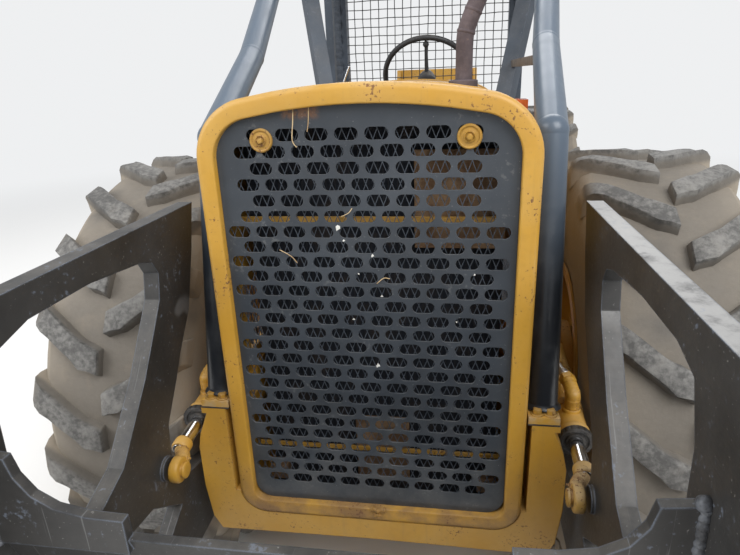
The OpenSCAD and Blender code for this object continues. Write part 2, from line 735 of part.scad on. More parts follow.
// Rear frame: knuckle, box, rails over the axle, arch and butt plate
module rear_frame() framed() color(yellow) {
  difference() {
    union() {
      translate([0, pivot_y, knuckle_bottom + 52])
        cylinder(h = rail_top - knuckle_bottom - 114, r = 72, $fn = 64);
      box(-62, 62, pivot_y, 2310, knuckle_bottom + 52, rail_top - 62);
      box(-rear_hw, rear_hw, 2300, 2800, knuckle_bottom, rear_rail_top - 20);
      both() {
        flat_plate([[150, 2300], [180, pivot_y + 8], [steer_eye_x, pivot_y - 34],
          [260, pivot_y + 8], [290, 2300]], steer_z + 27, steer_z + 45);
        flat_plate([[150, 2300], [180, pivot_y + 8], [steer_eye_x, pivot_y - 34],
          [260, pivot_y + 8], [290, 2300]], steer_z - 45, steer_z - 27);
        box(rear_hw - 60, rear_hw, 2800, butt_y - 30, 790, rear_rail_top);
        box(rear_hw - 60, rear_hw, rear_axle_y - 120, rear_axle_y + 120, axle_z - 40, 790);
        side_plate([[3560, 900], [4270, 900], [4270, 1110], [4180, 1240], [4110, arch_top - 60],
          [4110, arch_top], [3930, arch_top], [3900, arch_top - 60], [3880, 1500]],
          rear_hw, rear_hw + 30);
        box(200, 300, arch_y - 60, arch_y + 60, 1262, 1394);
        box(130, 200, arch_y - 45, arch_y + 45, 1380, 1394);
        side_plate([[butt_y - 180, rear_rail_top], [butt_y - 40, rear_rail_top],
          [butt_y - 40, 1100]], rear_hw - 40, rear_hw - 26);
      }
      box(-rear_hw, rear_hw, 3930, 4110, arch_top - 90, arch_top);
      box(-240, 240, 3500, 3560, 830, 960);
      box(-330, 330, butt_y - 40, butt_y, 640, 1120);
      box(-480, 480, butt_y - 24, butt_y, 560, 1000);
      box(-200, 200, arch_y - 60, arch_y + 60, 1262, 1274);
    }
    translate([0, pivot_y, 600]) cylinder(h = 400, r = pivot_pin_r + 0.05, $fn = 48);
    cross_bar(-500, 500, rear_axle_y, axle_z, 84.3);
    cross_bar(-230, 230, arch_y, roller_z, 16.05);
    both() {
      translate([160, arch_y, 1370]) cylinder(h = 330, r = 16.05, $fn = 48);
      translate([400, butt_y - 60, 900]) rotate([-90, 0, 0]) cylinder(h = 100, r = 30, $fn = 48);
    }
  }
}

module winch_case() framed() color(yellow) {
  both() {
    difference() {
      union() {
        side_plate(concat([[winch_y - 170, rear_rail_top]],
          arc(winch_y, winch_z, 170, 180, 0, 16), [[winch_y + 170, rear_rail_top]]), 170, 290);
        cross_bar(290, 316, winch_y, winch_z, 128);
      }
      cross_bar(160, 320, winch_y, winch_z, 30.05);
    }
  }
}

module winch_drum() framed() color(steel) {
  cross_bar(-150, 150, winch_y, winch_z, 110);
  cross_bar(-162, -146, winch_y, winch_z, drum_r);
  cross_bar(146, 162, winch_y, winch_z, drum_r);
  cross_bar(-290, 290, winch_y, winch_z, 30);
}

module fairlead_roller_low() framed() color(steel) {
  cross_bar(-180, 180, arch_y, roller_z, 44);
  cross_bar(-225, 225, arch_y, roller_z, 16);
}

module fairlead_roller_left() framed() color(steel) {
  translate([160, arch_y, 1402]) cylinder(h = 240, r = 40, $fn = 48);
  translate([160, arch_y, 1384]) cylinder(h = 300, r = 16, $fn = 48);
}

module fairlead_roller_right() framed() color(steel) {
  translate([-160, arch_y, 1402]) cylinder(h = 240, r = 40, $fn = 48);
  translate([-160, arch_y, 1384]) cylinder(h = 300, r = 16, $fn = 48);
}

front_frame();
front_axle();
radiator();
engine();
grille_frame();
grille_panel();
hood();
side_screens();
exhaust();
marker_light();
limb_risers();
cab_frame();
platform();
rear_screen();
cab_mesh();
seat();
steering_wheel();
fuel_tank();
battery_box();
blade();
blade_arms();
lift_barrel_left();
lift_barrel_right();
lift_rod_left();
lift_rod_right();
steering_barrel_left();
steering_barrel_right();
steering_rod_left();
steering_rod_right();
tyre_front_left();
tyre_front_right();
tyre_rear_left();
tyre_rear_right();
rim_front_left();
rim_front_right();
rim_rear_left();
rim_rear_right();
rear_frame();
rear_axle();
winch_case();
winch_drum();
fairlead_roller_low();
fairlead_roller_left();
fairlead_roller_right();
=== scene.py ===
"""Looks of a cable skidder: paints, tyres, grille, meshes, bolts and the studio round it."""

import json
import math

import bmesh
import bpy
from mathutils import Matrix, Vector


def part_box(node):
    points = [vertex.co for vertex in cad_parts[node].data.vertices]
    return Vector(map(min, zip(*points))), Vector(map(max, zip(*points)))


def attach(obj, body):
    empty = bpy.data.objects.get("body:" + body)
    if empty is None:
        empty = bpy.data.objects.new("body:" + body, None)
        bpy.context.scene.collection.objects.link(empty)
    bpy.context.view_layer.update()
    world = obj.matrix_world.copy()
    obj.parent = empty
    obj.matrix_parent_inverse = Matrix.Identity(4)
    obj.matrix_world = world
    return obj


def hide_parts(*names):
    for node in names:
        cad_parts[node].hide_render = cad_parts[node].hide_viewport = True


bl_info = {
    "name": "Cable skidder looks",
    "version": (1, 0, 0),
    "blender": (4, 5, 0),
    "location": "3D View > Sidebar > Skidder",
    "description": "Dresses the packed skidder with its paints, tyres, grille and fittings",
    "category": "Object",
}

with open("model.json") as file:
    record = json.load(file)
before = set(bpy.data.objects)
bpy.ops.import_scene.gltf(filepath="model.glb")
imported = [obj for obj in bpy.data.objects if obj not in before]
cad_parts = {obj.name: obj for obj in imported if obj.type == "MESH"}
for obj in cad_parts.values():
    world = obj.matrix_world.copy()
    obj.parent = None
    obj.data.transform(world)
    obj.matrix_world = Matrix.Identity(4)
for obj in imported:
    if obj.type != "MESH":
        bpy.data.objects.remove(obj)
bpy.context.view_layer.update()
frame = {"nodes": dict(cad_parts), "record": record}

# The grille's front face in the shared frame, and the two axles
GRILLE_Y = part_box("grille_frame")[0].y
WHEELS = ("front_left", "front_right", "rear_left", "rear_right")
front_low, front_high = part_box("tyre_front_left")
rear_low, rear_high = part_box("tyre_rear_left")
rim_low, rim_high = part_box("rim_front_left")
FRONT_AXLE_Y = (front_low.y + front_high.y) / 2
REAR_AXLE_Y = (rear_low.y + rear_high.y) / 2
AXLE_Z = (front_low.z + front_high.z) / 2
TYRE_R = (front_high.z - front_low.z) / 2
# The tyre's bead sits this far inside the rim's flange
FLANGE_TALL = 0.015
RIM_R = (rim_high.z - rim_low.z) / 2 - FLANGE_TALL
# The front of the blade's ears, and the top of the seat's back as the photo shows it
EAR_Y = -0.566
SEAT_TOP = 1.640
# What the camera sees behind the machine
BACKDROP = (0.86, 0.87, 0.88)
# The top of the limb risers' flanges, where their yellow ends
FLANGE_TOP = 0.9585


# Shader kit


class Val:
    """A value socket that takes Python's arithmetic and adds the Math nodes for it."""

    def __init__(self, paint, socket):
        self.paint = paint
        self.socket = socket

    def _math(self, operation, a, b=0.0):
        return self.paint.node("ShaderNodeMath", {"operation": operation}, [a, b])

    def __add__(self, other):
        return self._math("ADD", self, other)

    __radd__ = __add__

    def __mul__(self, other):
        return self._math("MULTIPLY", self, other)

    __rmul__ = __mul__

    def __sub__(self, other):
        return self._math("SUBTRACT", self, other)

    def __rsub__(self, other):
        return self._math("SUBTRACT", other, self)

    def __abs__(self):
        return self._math("ABSOLUTE", self)

    def step(self, low, high):
        """0 below low, 1 above high, smooth between."""
        inputs = {"Value": self, "From Min": low, "From Max": high}
        return self.paint.node("ShaderNodeMapRange", {"interpolation_type": "SMOOTHSTEP"}, inputs)

    def least(self, other):
        return self._math("MINIMUM", self, other)

    def most(self, other):
        return self._math("MAXIMUM", self, other)

    def sin(self):
        return self._math("SINE", self)

    def root(self):
        return self._math("SQRT", self)


class Paint:
    """A material, or a world, and its nodes."""

    def __init__(self, name, group="materials"):
        self.owner = getattr(bpy.data, group).new(name)
        self.owner.use_nodes = True
        self.tree = self.owner.node_tree
        self.tree.nodes.clear()
        self.here = self.node("ShaderNodeTexCoord", {}, {}, "Object")
        self.colour = None

    def node(self, kind, settings, inputs, out=0):
        """Adds a node: its settings first, then the values or links of its sockets."""
        made = self.tree.nodes.new(kind)
        for key, value in settings.items():
            setattr(made, key, value)
        pairs = enumerate(inputs) if isinstance(inputs, list) else inputs.items()
        for key, value in pairs:
            socket = made.inputs[key]
            if isinstance(value, Val):
                self.tree.links.new(value.socket, socket)
            elif value is not None:
                if hasattr(value, "__len__") and len(socket.default_value) == 4 and len(value) == 3:
                    value = (*value, 1.0)
                socket.default_value = value
        return Val(self, made.outputs[out]) if made.outputs else made

    def place(self, scale, turn=(0.0, 0.0, 0.0)):
        """Object coordinates, turned and scaled."""
        inputs = {"Vector": self.here, "Rotation": turn, "Scale": scale}
        return self.node("ShaderNodeMapping", {}, inputs)

    def split(self, vector):
        """The three parts of a vector as values."""
        made = self.node("ShaderNodeSeparateXYZ", {}, [vector]).socket.node
        return [Val(self, output) for output in made.outputs]

    def xyz(self):
        """The three object coordinates as values."""
        return self.split(self.here)

    def noise(self, scale, detail=4.0, rough=0.55, where=None):
        inputs = {"Vector": where or self.here, "Scale": scale, "Detail": detail, "Roughness": rough}
        return self.node("ShaderNodeTexNoise", {}, inputs)

    def cells(self, scale):
        return self.node("ShaderNodeTexVoronoi", {"feature": "F1"}, {"Vector": self.here, "Scale": scale})

    def facing_up(self):
        """1 on faces that look up, 0 on walls and below."""
        return self.split(self.node("ShaderNodeNewGeometry", {}, {}, "Normal"))[2]

    def edges(self, radius, low=0.06, high=0.3):
        """1 along outer and inner edges that are sharper than the radius."""
        soft = self.rounded(radius)
        hard = self.node("ShaderNodeNewGeometry", {}, {}, "Normal")
        dot = self.node("ShaderNodeVectorMath", {"operation": "DOT_PRODUCT"}, [soft, hard], "Value")
        return (1.0 - dot).step(low, high)

    def mix(self, factor, a, b):
        """Colour a where factor is 0, colour b where it is 1."""
        made = self.tree.nodes.new("ShaderNodeMix")
        made.data_type = "RGBA"
        for socket, value in ((made.inputs[0], factor), (made.inputs[6], a), (made.inputs[7], b)):
            if isinstance(value, Val):
                self.tree.links.new(value.socket, socket)
            else:
                socket.default_value = (*value, 1.0) if hasattr(value, "__len__") else value
        return Val(self, made.outputs[2])

    def over(self, factor, colour):
        """Lays a colour over the material's own, as thick as the factor says."""
        self.colour = self.mix(factor, self.colour, colour)

    def bump(self, height, strength=0.3, depth=0.002, normal=None):
        inputs = {"Height": height, "Strength": strength, "Distance": depth, "Normal": normal}
        return self.node("ShaderNodeBump", {}, inputs, "Normal")

    def rounded(self, radius):
        return self.node("ShaderNodeBevel", {"samples": 4}, {"Radius": radius}, "Normal")

    def finish(self, rough, metal=0.0, normal=None, coat=0.0, coat_rough=0.2):
        """Puts the surface on the material's output."""
        inputs = {
            "Base Color": self.colour,
            "Roughness": rough,
            "Metallic": metal,
            "Coat Weight": coat,
            "Coat Roughness": coat_rough,
            "Normal": normal,
        }
        surface = self.node("ShaderNodeBsdfPrincipled", {}, inputs)
        self.node("ShaderNodeOutputMaterial", {}, {"Surface": surface})
        return self.owner


# Finishes


def yellow_paint(name, base, dust=0.5, rust=0.5, edge=0.004, foot_rust=0.0):
    """Sun-faded machine yellow with dust, scratches, chips and rust along edges."""
    p = Paint(name)
    z = p.xyz()[2]
    broad = p.noise(3.0, 3.0)
    fine = p.noise(60.0, 5.0)
    grime = p.noise(9.0, 6.0, 0.65)
    spots = p.noise(140.0, 3.0, 0.6)
    up = p.facing_up()
    p.colour = p.mix(broad.step(0.35, 0.7), base, tuple(c * k for c, k in zip(base, (0.86, 0.82, 0.7))))
    p.over(fine.step(0.45, 0.75) * 0.25, tuple(c * 0.72 for c in base))
    pale = p.noise(2.2, 5.0, 0.7).step(0.46, 0.66)
    p.over(pale * 0.34 * dust, (0.58, 0.37, 0.11))
    dusty = (up.step(0.1, 0.9) * 0.42 + 0.09) * grime.step(0.3, 0.68) * dust
    p.over(dusty, (0.55, 0.43, 0.26))
    streak = p.noise(1.0, 4.0, 0.6, where=p.place((46.0, 46.0, 2.2)))
    p.over(streak.step(0.56, 0.75) * 0.22 * dust, (0.20, 0.14, 0.07))
    smut = (p.noise(22.0, 6.0, 0.75).step(0.60, 0.70) * 0.5 + spots.step(0.70, 0.76) * 0.45) * dust
    p.over(smut, (0.17, 0.11, 0.055))
    low = (1.0 - z.step(0.64, 0.80)) * grime.step(0.34, 0.62) * foot_rust
    p.over(low, (0.20, 0.105, 0.045))
    worn = p.edges(edge) * grime.step(0.36, 0.58)
    chips = (spots * grime).step(0.335, 0.39)
    rusted = (worn.most(chips) * rust).least(1.0)
    brown = p.mix(fine, (0.24, 0.10, 0.035), (0.10, 0.05, 0.03))
    p.over(rusted, brown)
    rough = 0.42 + dusty * 0.4 + rusted * 0.4 + smut * 0.2
    height = fine * 0.25 - rusted * 0.6 + broad * 0.1
    normal = p.bump(height, 0.16, 0.002, p.rounded(edge))
    return p.finish(rough, 0.0, normal, coat=0.06, coat_rough=0.35)


def dark_paint(name, base, wear_and_highlight_colour, dust=0.4, wear=0.6, edge=0.004, brushed=0.0, rust_and_sheen=0.0):
    """Black or blue-grey paint, dusty on top, worn along the edges with a painted highlight laid over the
    wear there, and where asked a rust patch and a painted grey sheen towards the bottom.
    """
    p = Paint(name)
    x, _, z = p.xyz()
    broad = p.noise(4.0, 4.0)
    fine = p.noise(85.0, 5.0, 0.6)
    grime = p.noise(11.0, 6.0, 0.68)
    lines = p.noise(1.0, 4.0, 0.7, where=p.place((9.0, 9.0, 120.0)))
    up = p.facing_up()
    p.colour = p.mix(broad.step(0.3, 0.7), base, tuple(min(1.0, c * 1.55 + 0.006) for c in base))
    dusty = (up.step(0.0, 0.9) * 0.5 + 0.1) * grime.step(0.32, 0.7) * dust
    p.over(dusty, (0.30, 0.27, 0.23))
    rust = z.step(1.626, 1.642) * (1.0 - abs(x + 0.128).step(0.028, 0.046)) * fine.step(0.34, 0.56)
    p.over(rust * rust_and_sheen, (0.17, 0.085, 0.045))
    # Painted grey sheen towards the bottom, broken up by noise
    low = (1.0 - z.step(0.70, 1.05)) * grime.step(0.30, 0.65)
    p.over(low * rust_and_sheen * 0.22, (0.17, 0.165, 0.155))
    scores = p.noise(1.0, 2.0, 0.5, where=p.place((300.0, 5.0, 5.0), turn=(0.0, 0.5, 0.0)))
    p.over(scores.step(0.68, 0.72) * brushed * 0.8, (0.22, 0.22, 0.22))
    flecks = p.noise(190.0, 2.0, 0.5).step(0.70, 0.75)
    p.over(flecks * wear * 0.55, (0.36, 0.35, 0.33))
    bright = up.step(0.45, 0.70) * x.step(0.485, 0.493) * z.step(1.19, 1.26) * grime.step(0.30, 0.52)
    p.over(bright * brushed * 1.3, (0.40, 0.395, 0.385))
    # The paler colour along the edges is painted edge highlight as well as worn paint; the scuffs are wear
    worn = p.edges(edge) * grime.step(0.30, 0.56) * wear
    scuffs = (fine * grime).step(0.33, 0.40) * 0.5 * wear
    wear_and_highlight_mask = worn.most(scuffs).least(1.0)
    p.over(wear_and_highlight_mask, wear_and_highlight_colour)
    rough = 0.44 + dusty * 0.4 + wear_and_highlight_mask * 0.15 + (fine - 0.5) * 0.2
    height = fine * 0.35 + lines * brushed - wear_and_highlight_mask * 0.2
    normal = p.bump(height, 0.28, 0.002, p.rounded(edge))
    return p.finish(rough, 0.0, normal)


def riser_paint(name, yellow, dark):
    """Dusty yellow on the flange, and on the tube a black that turns to a painted blue-grey sky sheen further
    up.
    """
    p = Paint(name)
    z = p.xyz()[2]
    above = z.step(FLANGE_TOP, FLANGE_TOP + 0.0015)
    grime = p.noise(12.0, 6.0, 0.66)
    fine = p.noise(70.0, 5.0, 0.6)
    drips = p.noise(1.0, 4.0, 0.6, where=p.place((30.0, 30.0, 3.0)))
    painted = p.mix(grime.step(0.36, 0.66) * 0.7, yellow, (0.46, 0.37, 0.25))
    painted = p.mix(p.edges(0.003) * fine.step(0.4, 0.6), painted, (0.16, 0.08, 0.035))
    # Painted blue-grey sky sheen on the black tube, growing from z 1.15 to 1.70
    tube = p.mix(z.step(1.15, 1.70), dark, (0.095, 0.125, 0.165))
    tube = p.mix(grime.step(0.44, 0.74) * 0.18, tube, (0.13, 0.14, 0.15))
    tube = p.mix(drips.step(0.60, 0.76) * 0.16, tube, (0.26, 0.27, 0.28))
    p.colour = p.mix(above, painted, tube)
    rough = 0.62 - above * 0.34 + grime.step(0.4, 0.7) * 0.12
    return p.finish(rough, 0.0, p.bump(fine * 0.5 + grime * 0.4, 0.07, 0.0015, p.rounded(0.002)))


def crusted(name, base, spot, rough=0.7, gloss=0.0, scale=60.0):
    """Rough coat of grease, rust, weld scale or straw with spots of a second colour."""
    p = Paint(name)
    lumps = p.noise(scale, 6.0, 0.7)
    blotch = p.noise(scale * 0.3, 5.0, 0.65)
    p.colour = p.mix(blotch.step(0.42, 0.62), base, spot)
    p.over(lumps.step(0.58, 0.74) * 0.6, tuple(c * 0.45 for c in base))
    return p.finish(rough + (lumps - 0.5) * 0.3 - gloss * blotch, 0.0,
                    p.bump(lumps + blotch * 0.6, 0.5, 0.0018))


def wire_rope(name):
    """Greasy steel rope: bright crowns of the strands, dark lay between them."""
    p = Paint(name)
    x, y, z = p.xyz()
    strands = ((x * 900.0 + z * 420.0 + y * 420.0).sin() * 0.5 + 0.5)
    fine = p.noise(150.0, 4.0)
    p.colour = p.mix(strands.step(0.25, 0.75), (0.045, 0.035, 0.028), (0.30, 0.27, 0.24))
    p.over(fine.step(0.55, 0.75) * 0.5, (0.20, 0.09, 0.04))
    return p.finish(0.5, 0.5, p.bump(strands + fine * 0.3, 0.6, 0.002))


def tyre_rubber(name):
    """Dusty rubber: grey-black on the bars' tops, tan dust in the grooves and on the walls."""
    p = Paint(name)
    _, y, z = p.xyz()
    front = (y - FRONT_AXLE_Y) * (y - FRONT_AXLE_Y)
    rear = (y - REAR_AXLE_Y) * (y - REAR_AXLE_Y)
    up = z - AXLE_Z
    radius = (front.least(rear) + up * up).root()
    fine = p.noise(70.0, 6.0, 0.65)
    clods = p.noise(14.0, 6.0, 0.7)
    broad = p.noise(3.5, 3.0)
    top = radius.step(TYRE_R - 0.022, TYRE_R - 0.006)
    groove = 1.0 - radius.step(TYRE_R - 0.052, TYRE_R - 0.03)
    rubber = p.mix(fine, (0.060, 0.058, 0.056), (0.125, 0.121, 0.115))
    dust = p.mix(clods, (0.39, 0.335, 0.265), (0.255, 0.215, 0.165))
    thick = (0.30 + groove * 0.62) * (1.0 - top * 0.92) + clods.step(0.5, 0.75) * 0.2
    amount = thick * broad.step(0.18, 0.42)
    p.colour = p.mix(amount.least(1.0), rubber, dust)
    scuff = (broad * 0.3 + fine * 0.45 + clods * 0.25).step(0.40, 0.60) * top
    p.over(scuff * 0.62, (0.29, 0.28, 0.26))
    rings = ((radius * 900.0).sin() * 0.5 + 0.5) * (1.0 - radius.step(0.50, 0.56))
    height = fine * 0.6 + clods * 0.6 + rings * 0.3
    normal = p.bump(height, 0.55, 0.004)
    return p.finish(0.86 - top * 0.12, 0.0, normal)


def bare_steel(name, base, rust=0.3, rough=0.38, metal=0.9):
    """Steel that cable or seals keep bright, with some rust."""
    p = Paint(name)
    fine = p.noise(120.0, 4.0)
    grime = p.noise(18.0, 6.0, 0.65)
    scratches = p.noise(1.0, 3.0, 0.6, where=p.place((240.0, 12.0, 12.0)))
    rusted = grime.step(0.62 - rust * 0.4, 0.72 - rust * 0.1) * rust
    p.colour = p.mix(rusted.least(1.0), base, (0.22, 0.10, 0.045))
    normal = p.bump(fine * 0.3 + scratches * 0.3, 0.15, 0.001)
    return p.finish(rough + rusted * 0.4 + (fine - 0.5) * 0.1, metal - rusted * 0.7, normal)


def rusty_pipe(name):
    """Heat-browned exhaust steel."""
    p = Paint(name)
    fine = p.noise(90.0, 6.0, 0.7)
    blotch = p.noise(14.0, 6.0, 0.65)
    p.colour = p.mix(blotch.step(0.3, 0.7), (0.165, 0.130, 0.135), (0.085, 0.066, 0.070))
    p.over(fine.step(0.55, 0.8) * 0.8, (0.27, 0.185, 0.150))
    normal = p.bump(fine + blotch * 0.5, 0.4, 0.002)
    return p.finish(0.72 + fine * 0.2, 0.35, normal)


def plain_plastic(name, base, rough=0.5, grain=220.0):
    """Moulded plastic or vinyl with a fine grain and a little dust."""
    p = Paint(name)
    leather = p.cells(grain)
    grime = p.noise(12.0, 5.0, 0.6)
    up = p.facing_up()
    dusty = up.step(0.2, 0.9) * grime.step(0.35, 0.7) * 0.35
    p.colour = p.mix(grime, base, tuple(min(1.0, c * 1.5 + 0.004) for c in base))
    p.over(dusty, (0.28, 0.25, 0.21))
    return p.finish(rough + dusty * 0.3, 0.0, p.bump(leather, 0.2, 0.0006))


def lamp_lens(name, base):
    """Ribbed coloured lens."""
    p = Paint(name)
    z = p.xyz()[2]
    ribs = (z * 1400.0).sin() * 0.5 + 0.5
    grime = p.noise(40.0, 4.0)
    p.colour = p.mix(grime.step(0.4, 0.8) * 0.5, base, tuple(c * 0.6 for c in base))
    return p.finish(0.22, 0.0, p.bump(ribs, 0.4, 0.001), coat=0.6)


def core_fins(name):
    """Dusty radiator core with fine fins and tubes, kept near-black navy as painted shade inside the hood."""
    p = Paint(name)
    x, _, z = p.xyz()
    fins = (z * 2100.0).sin() * 0.5 + 0.5
    tubes = (x * 560.0).sin().step(0.4, 0.9)
    grime = p.noise(16.0, 5.0)
    # Near-black navy fins: painted shade behind the grille as well as the core's dark colour
    p.colour = p.mix(fins * 0.7, (0.006, 0.009, 0.016), (0.022, 0.028, 0.040))
    p.over(tubes * 0.3, (0.045, 0.040, 0.036))
    p.over(grime.step(0.50, 0.75) * 0.4, (0.10, 0.065, 0.040))
    return p.finish(0.75, 0.2, p.bump(fins + tubes, 0.4, 0.002))


MATERIALS = {}


def make_materials(settings):
    """Makes every finish once."""
    yellow = tuple(settings.yellow)
    black = tuple(settings.black)
    dull = tuple(c * 0.75 for c in yellow)
    MATERIALS.update(
        yellow=yellow_paint("machine_yellow", yellow, dust=0.8, rust=0.8),
        yellow_clean=yellow_paint("grille_yellow", yellow, dust=0.7, rust=0.9, edge=0.003, foot_rust=0.8),
        # The second colour of each dark finish is its edge wear and painted edge highlight
        black=dark_paint("brushed_black", black, (0.20, 0.235, 0.30), dust=0.35, wear=0.9,
                         edge=0.005, brushed=0.5),
        sheet=dark_paint("black_sheet", (0.034, 0.038, 0.044), (0.23, 0.23, 0.22), dust=0.25,
                         wear=0.25, edge=0.0015),
        panel=dark_paint("slotted_panel", (0.030, 0.036, 0.044), (0.21, 0.21, 0.205), dust=0.25, wear=0.55,
                         edge=0.0016, rust_and_sheen=1.0),
        cab=dark_paint("cab_blue_grey", (0.030, 0.040, 0.055), (0.18, 0.21, 0.26), dust=0.3, wear=0.6),
        box=dark_paint("black_boxes", (0.03, 0.03, 0.03), (0.16, 0.13, 0.10), dust=0.6, wear=0.5),
        guard=dark_paint("guard_wire", (0.070, 0.084, 0.105), (0.22, 0.23, 0.25), dust=0.3,
                         wear=0.2, edge=0.0008),
        wire=dark_paint("black_wire", (0.012, 0.012, 0.013), (0.10, 0.07, 0.05), dust=0.2,
                        wear=0.3, edge=0.0006),
        tyre=tyre_rubber("dusty_rubber"),
        chrome=bare_steel("rod_chrome", (0.80, 0.81, 0.83), rust=0.05, rough=0.14, metal=1.0),
        bright=bare_steel("bright_steel", (0.72, 0.73, 0.75), rust=0.0, rough=0.2, metal=1.0),
        steel=bare_steel("worn_steel", (0.46, 0.45, 0.43), rust=0.5),
        pipe=rusty_pipe("rusty_exhaust"),
        riser=riser_paint("riser_two_tone", yellow, (0.016, 0.018, 0.022)),
        rusty_yellow=yellow_paint("rusty_yellow", dull, dust=0.6, rust=1.3, edge=0.003),
        eye_yellow=yellow_paint("chipped_eye", yellow, dust=0.5, rust=1.0, edge=0.006),
        eye_rusty=yellow_paint("rusty_eye", dull, dust=1.3, rust=1.8, edge=0.010),
        grease=crusted("greasy_black", (0.030, 0.028, 0.027), (0.075, 0.068, 0.060), 0.62, 0.3, 90.0),
        weld=crusted("weld_scale", (0.040, 0.041, 0.044), (0.105, 0.112, 0.125), 0.5, 0.1, 130.0),
        brown=crusted("brown_dust", (0.155, 0.088, 0.046), (0.30, 0.19, 0.105), 0.95, 0.0, 45.0),
        dusty_bar=crusted("dusty_bar", (0.185, 0.155, 0.130), (0.125, 0.108, 0.095), 0.8, 0.0, 40.0),
        straw=crusted("straw", (0.62, 0.47, 0.27), (0.45, 0.30, 0.15), 0.85, 0.0, 120.0),
        flake=crusted("pale_flake", (0.78, 0.77, 0.72), (0.60, 0.58, 0.52), 0.75, 0.0, 160.0),
        rope=wire_rope("wire_rope"),
        lens=lamp_lens("orange_lens", (0.78, 0.16, 0.03)),
        vinyl=plain_plastic("black_vinyl", (0.02, 0.02, 0.021)),
        vinyl_seat=plain_plastic("seat_vinyl", (0.024, 0.023, 0.023), rough=0.6, grain=320.0),
        core=core_fins("radiator_core"),
    )


SLOT_FINISH = {
    "yellow_paint": "yellow",
    "black_blade_paint": "black",
    "black_sheet": "sheet",
    "dark_cab_paint": "cab",
    "black_box_paint": "box",
    "dark_core": "core",
    "rusty_exhaust": "pipe",
    "chrome_rod": "chrome",
    "worn_steel": "steel",
    "orange_lens": "lens",
    "black_plastic": "vinyl",
    "tyre": "tyre",
}
NODE_FINISH = {"limb_risers": "riser"}


# Mesh helpers


def at_row(y, x=0.0, z=0.0):
    """A point in metres whose y is counted rearward from the grille's front face."""
    return Vector((x, GRILLE_Y + y, z))


def middle(node):
    """The centre of a node's box."""
    low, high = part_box(node)
    return (low + high) / 2


def to_mesh(bm, name):
    """Frees a bmesh and gives what it held as a mesh."""
    mesh = bpy.data.meshes.new(name)
    bm.to_mesh(mesh)
    bm.free()
    return mesh


def add(name, data):
    """Puts data into the scene as an object."""
    made = bpy.data.objects.new(name, data)
    bpy.context.scene.collection.objects.link(made)
    return made


def keep(bm, name, finish, body, smooth=None, outward=True):
    """Turns a bmesh into a piece that rides on a body."""
    if outward:
        bmesh.ops.recalc_face_normals(bm, faces=bm.faces)
    mesh = to_mesh(bm, name)
    made = add(name, mesh)
    mesh.materials.append(MATERIALS[finish])
    if smooth is not None:
        mesh.shade_smooth()
        mesh.set_sharp_from_angle(angle=math.radians(smooth))
    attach(made, body)
    return made


def join(bm, part, flip_x=False):
    """Adds one bmesh to another and frees it, mirrored to the other side if asked."""
    if flip_x:
        bmesh.ops.scale(part, vec=(-1, 1, 1), verts=part.verts)
        bmesh.ops.reverse_faces(part, faces=part.faces)
    mesh = to_mesh(part, "part")
    bm.from_mesh(mesh)
    bpy.data.meshes.remove(mesh)


def facing(spot, ahead):
    """The matrix that takes the origin to a spot and z to the way ahead."""
    return Matrix.Translation(spot) @ Vector(ahead).to_track_quat("Z", "Y").to_matrix().to_4x4()


def spin(bm, axis, steps):
    """Sweeps what a bmesh holds once round an axis through the origin."""
    bmesh.ops.spin(bm, geom=bm.verts[:] + bm.edges[:], cent=(0, 0, 0), axis=axis,
                   angle=math.tau, steps=steps, use_merge=True)
    bmesh.ops.remove_doubles(bm, verts=bm.verts, dist=1e-6)


def lathe(profile, foot, ahead, steps=32):
    """Turns a profile of (radius, height) about an axis that starts at foot and points ahead."""
    bm = bmesh.new()
    verts = [bm.verts.new((r, 0.0, h)) for r, h in profile]
    for a, b in zip(verts, verts[1:]):
        bm.edges.new((a, b))
    spin(bm, (0, 0, 1), steps)
    bmesh.ops.transform(bm, matrix=facing(foot, ahead), verts=bm.verts)
    return bm


def boss(radius, wall, top, height, foot, ahead, steps=32):
    """A round plug: its wall, then a chamfer in to the top's radius."""
    profile = [(0.0, 0.0), (radius, 0.0), (radius, wall), (top, height), (0.0, height)]
    return lathe(profile, foot, ahead, steps)


def hoop(radius, thick, centre, normal, steps=64, sides=14):
    """A closed round bar bent into a ring."""
    bm = bmesh.new()
    bmesh.ops.create_circle(bm, segments=sides, radius=thick,
                            matrix=Matrix.Translation((radius, 0, 0)) @ Matrix.Rotation(math.pi / 2, 4, "X"))
    spin(bm, (0, 0, 1), steps)
    bmesh.ops.transform(bm, matrix=facing(centre, normal), verts=bm.verts)
    return bm


def round_off(bm, edges, offset, segments=2, clamp=False):
    """Rounds edges of a bmesh."""
    bmesh.ops.bevel(bm, geom=edges, offset=offset, segments=segments, profile=0.5,
                    affect="EDGES", material=-1, clamp_overlap=clamp)


def hexagon(foot, ahead, across, height, turn=0.0):
    """A bolt's head or a nut with rounded corners on its outer face."""
    bm = bmesh.new()
    bmesh.ops.create_cone(bm, cap_ends=True, segments=6, radius1=across / math.sqrt(3),
                          radius2=across / math.sqrt(3), depth=height)
    top = [e for e in bm.edges if all(v.co.z > 0 for v in e.verts)]
    round_off(bm, top, height * 0.18)
    bmesh.ops.translate(bm, vec=(0, 0, height / 2), verts=bm.verts)
    place = facing(foot, ahead) @ Matrix.Rotation(turn, 4, "Z")
    bmesh.ops.transform(bm, matrix=place, verts=bm.verts)
    return bm


def bolt(foot, ahead, across, turn=0.0):
    """A hexagon head on its washer."""
    bm = boss(across * 0.82, across * 0.08, across * 0.76, across * 0.14, foot, ahead, 24)
    join(bm, hexagon(Vector(foot) + Vector(ahead).normalized() * across * 0.13, ahead, across,
                     across * 0.62, turn))
    return bm


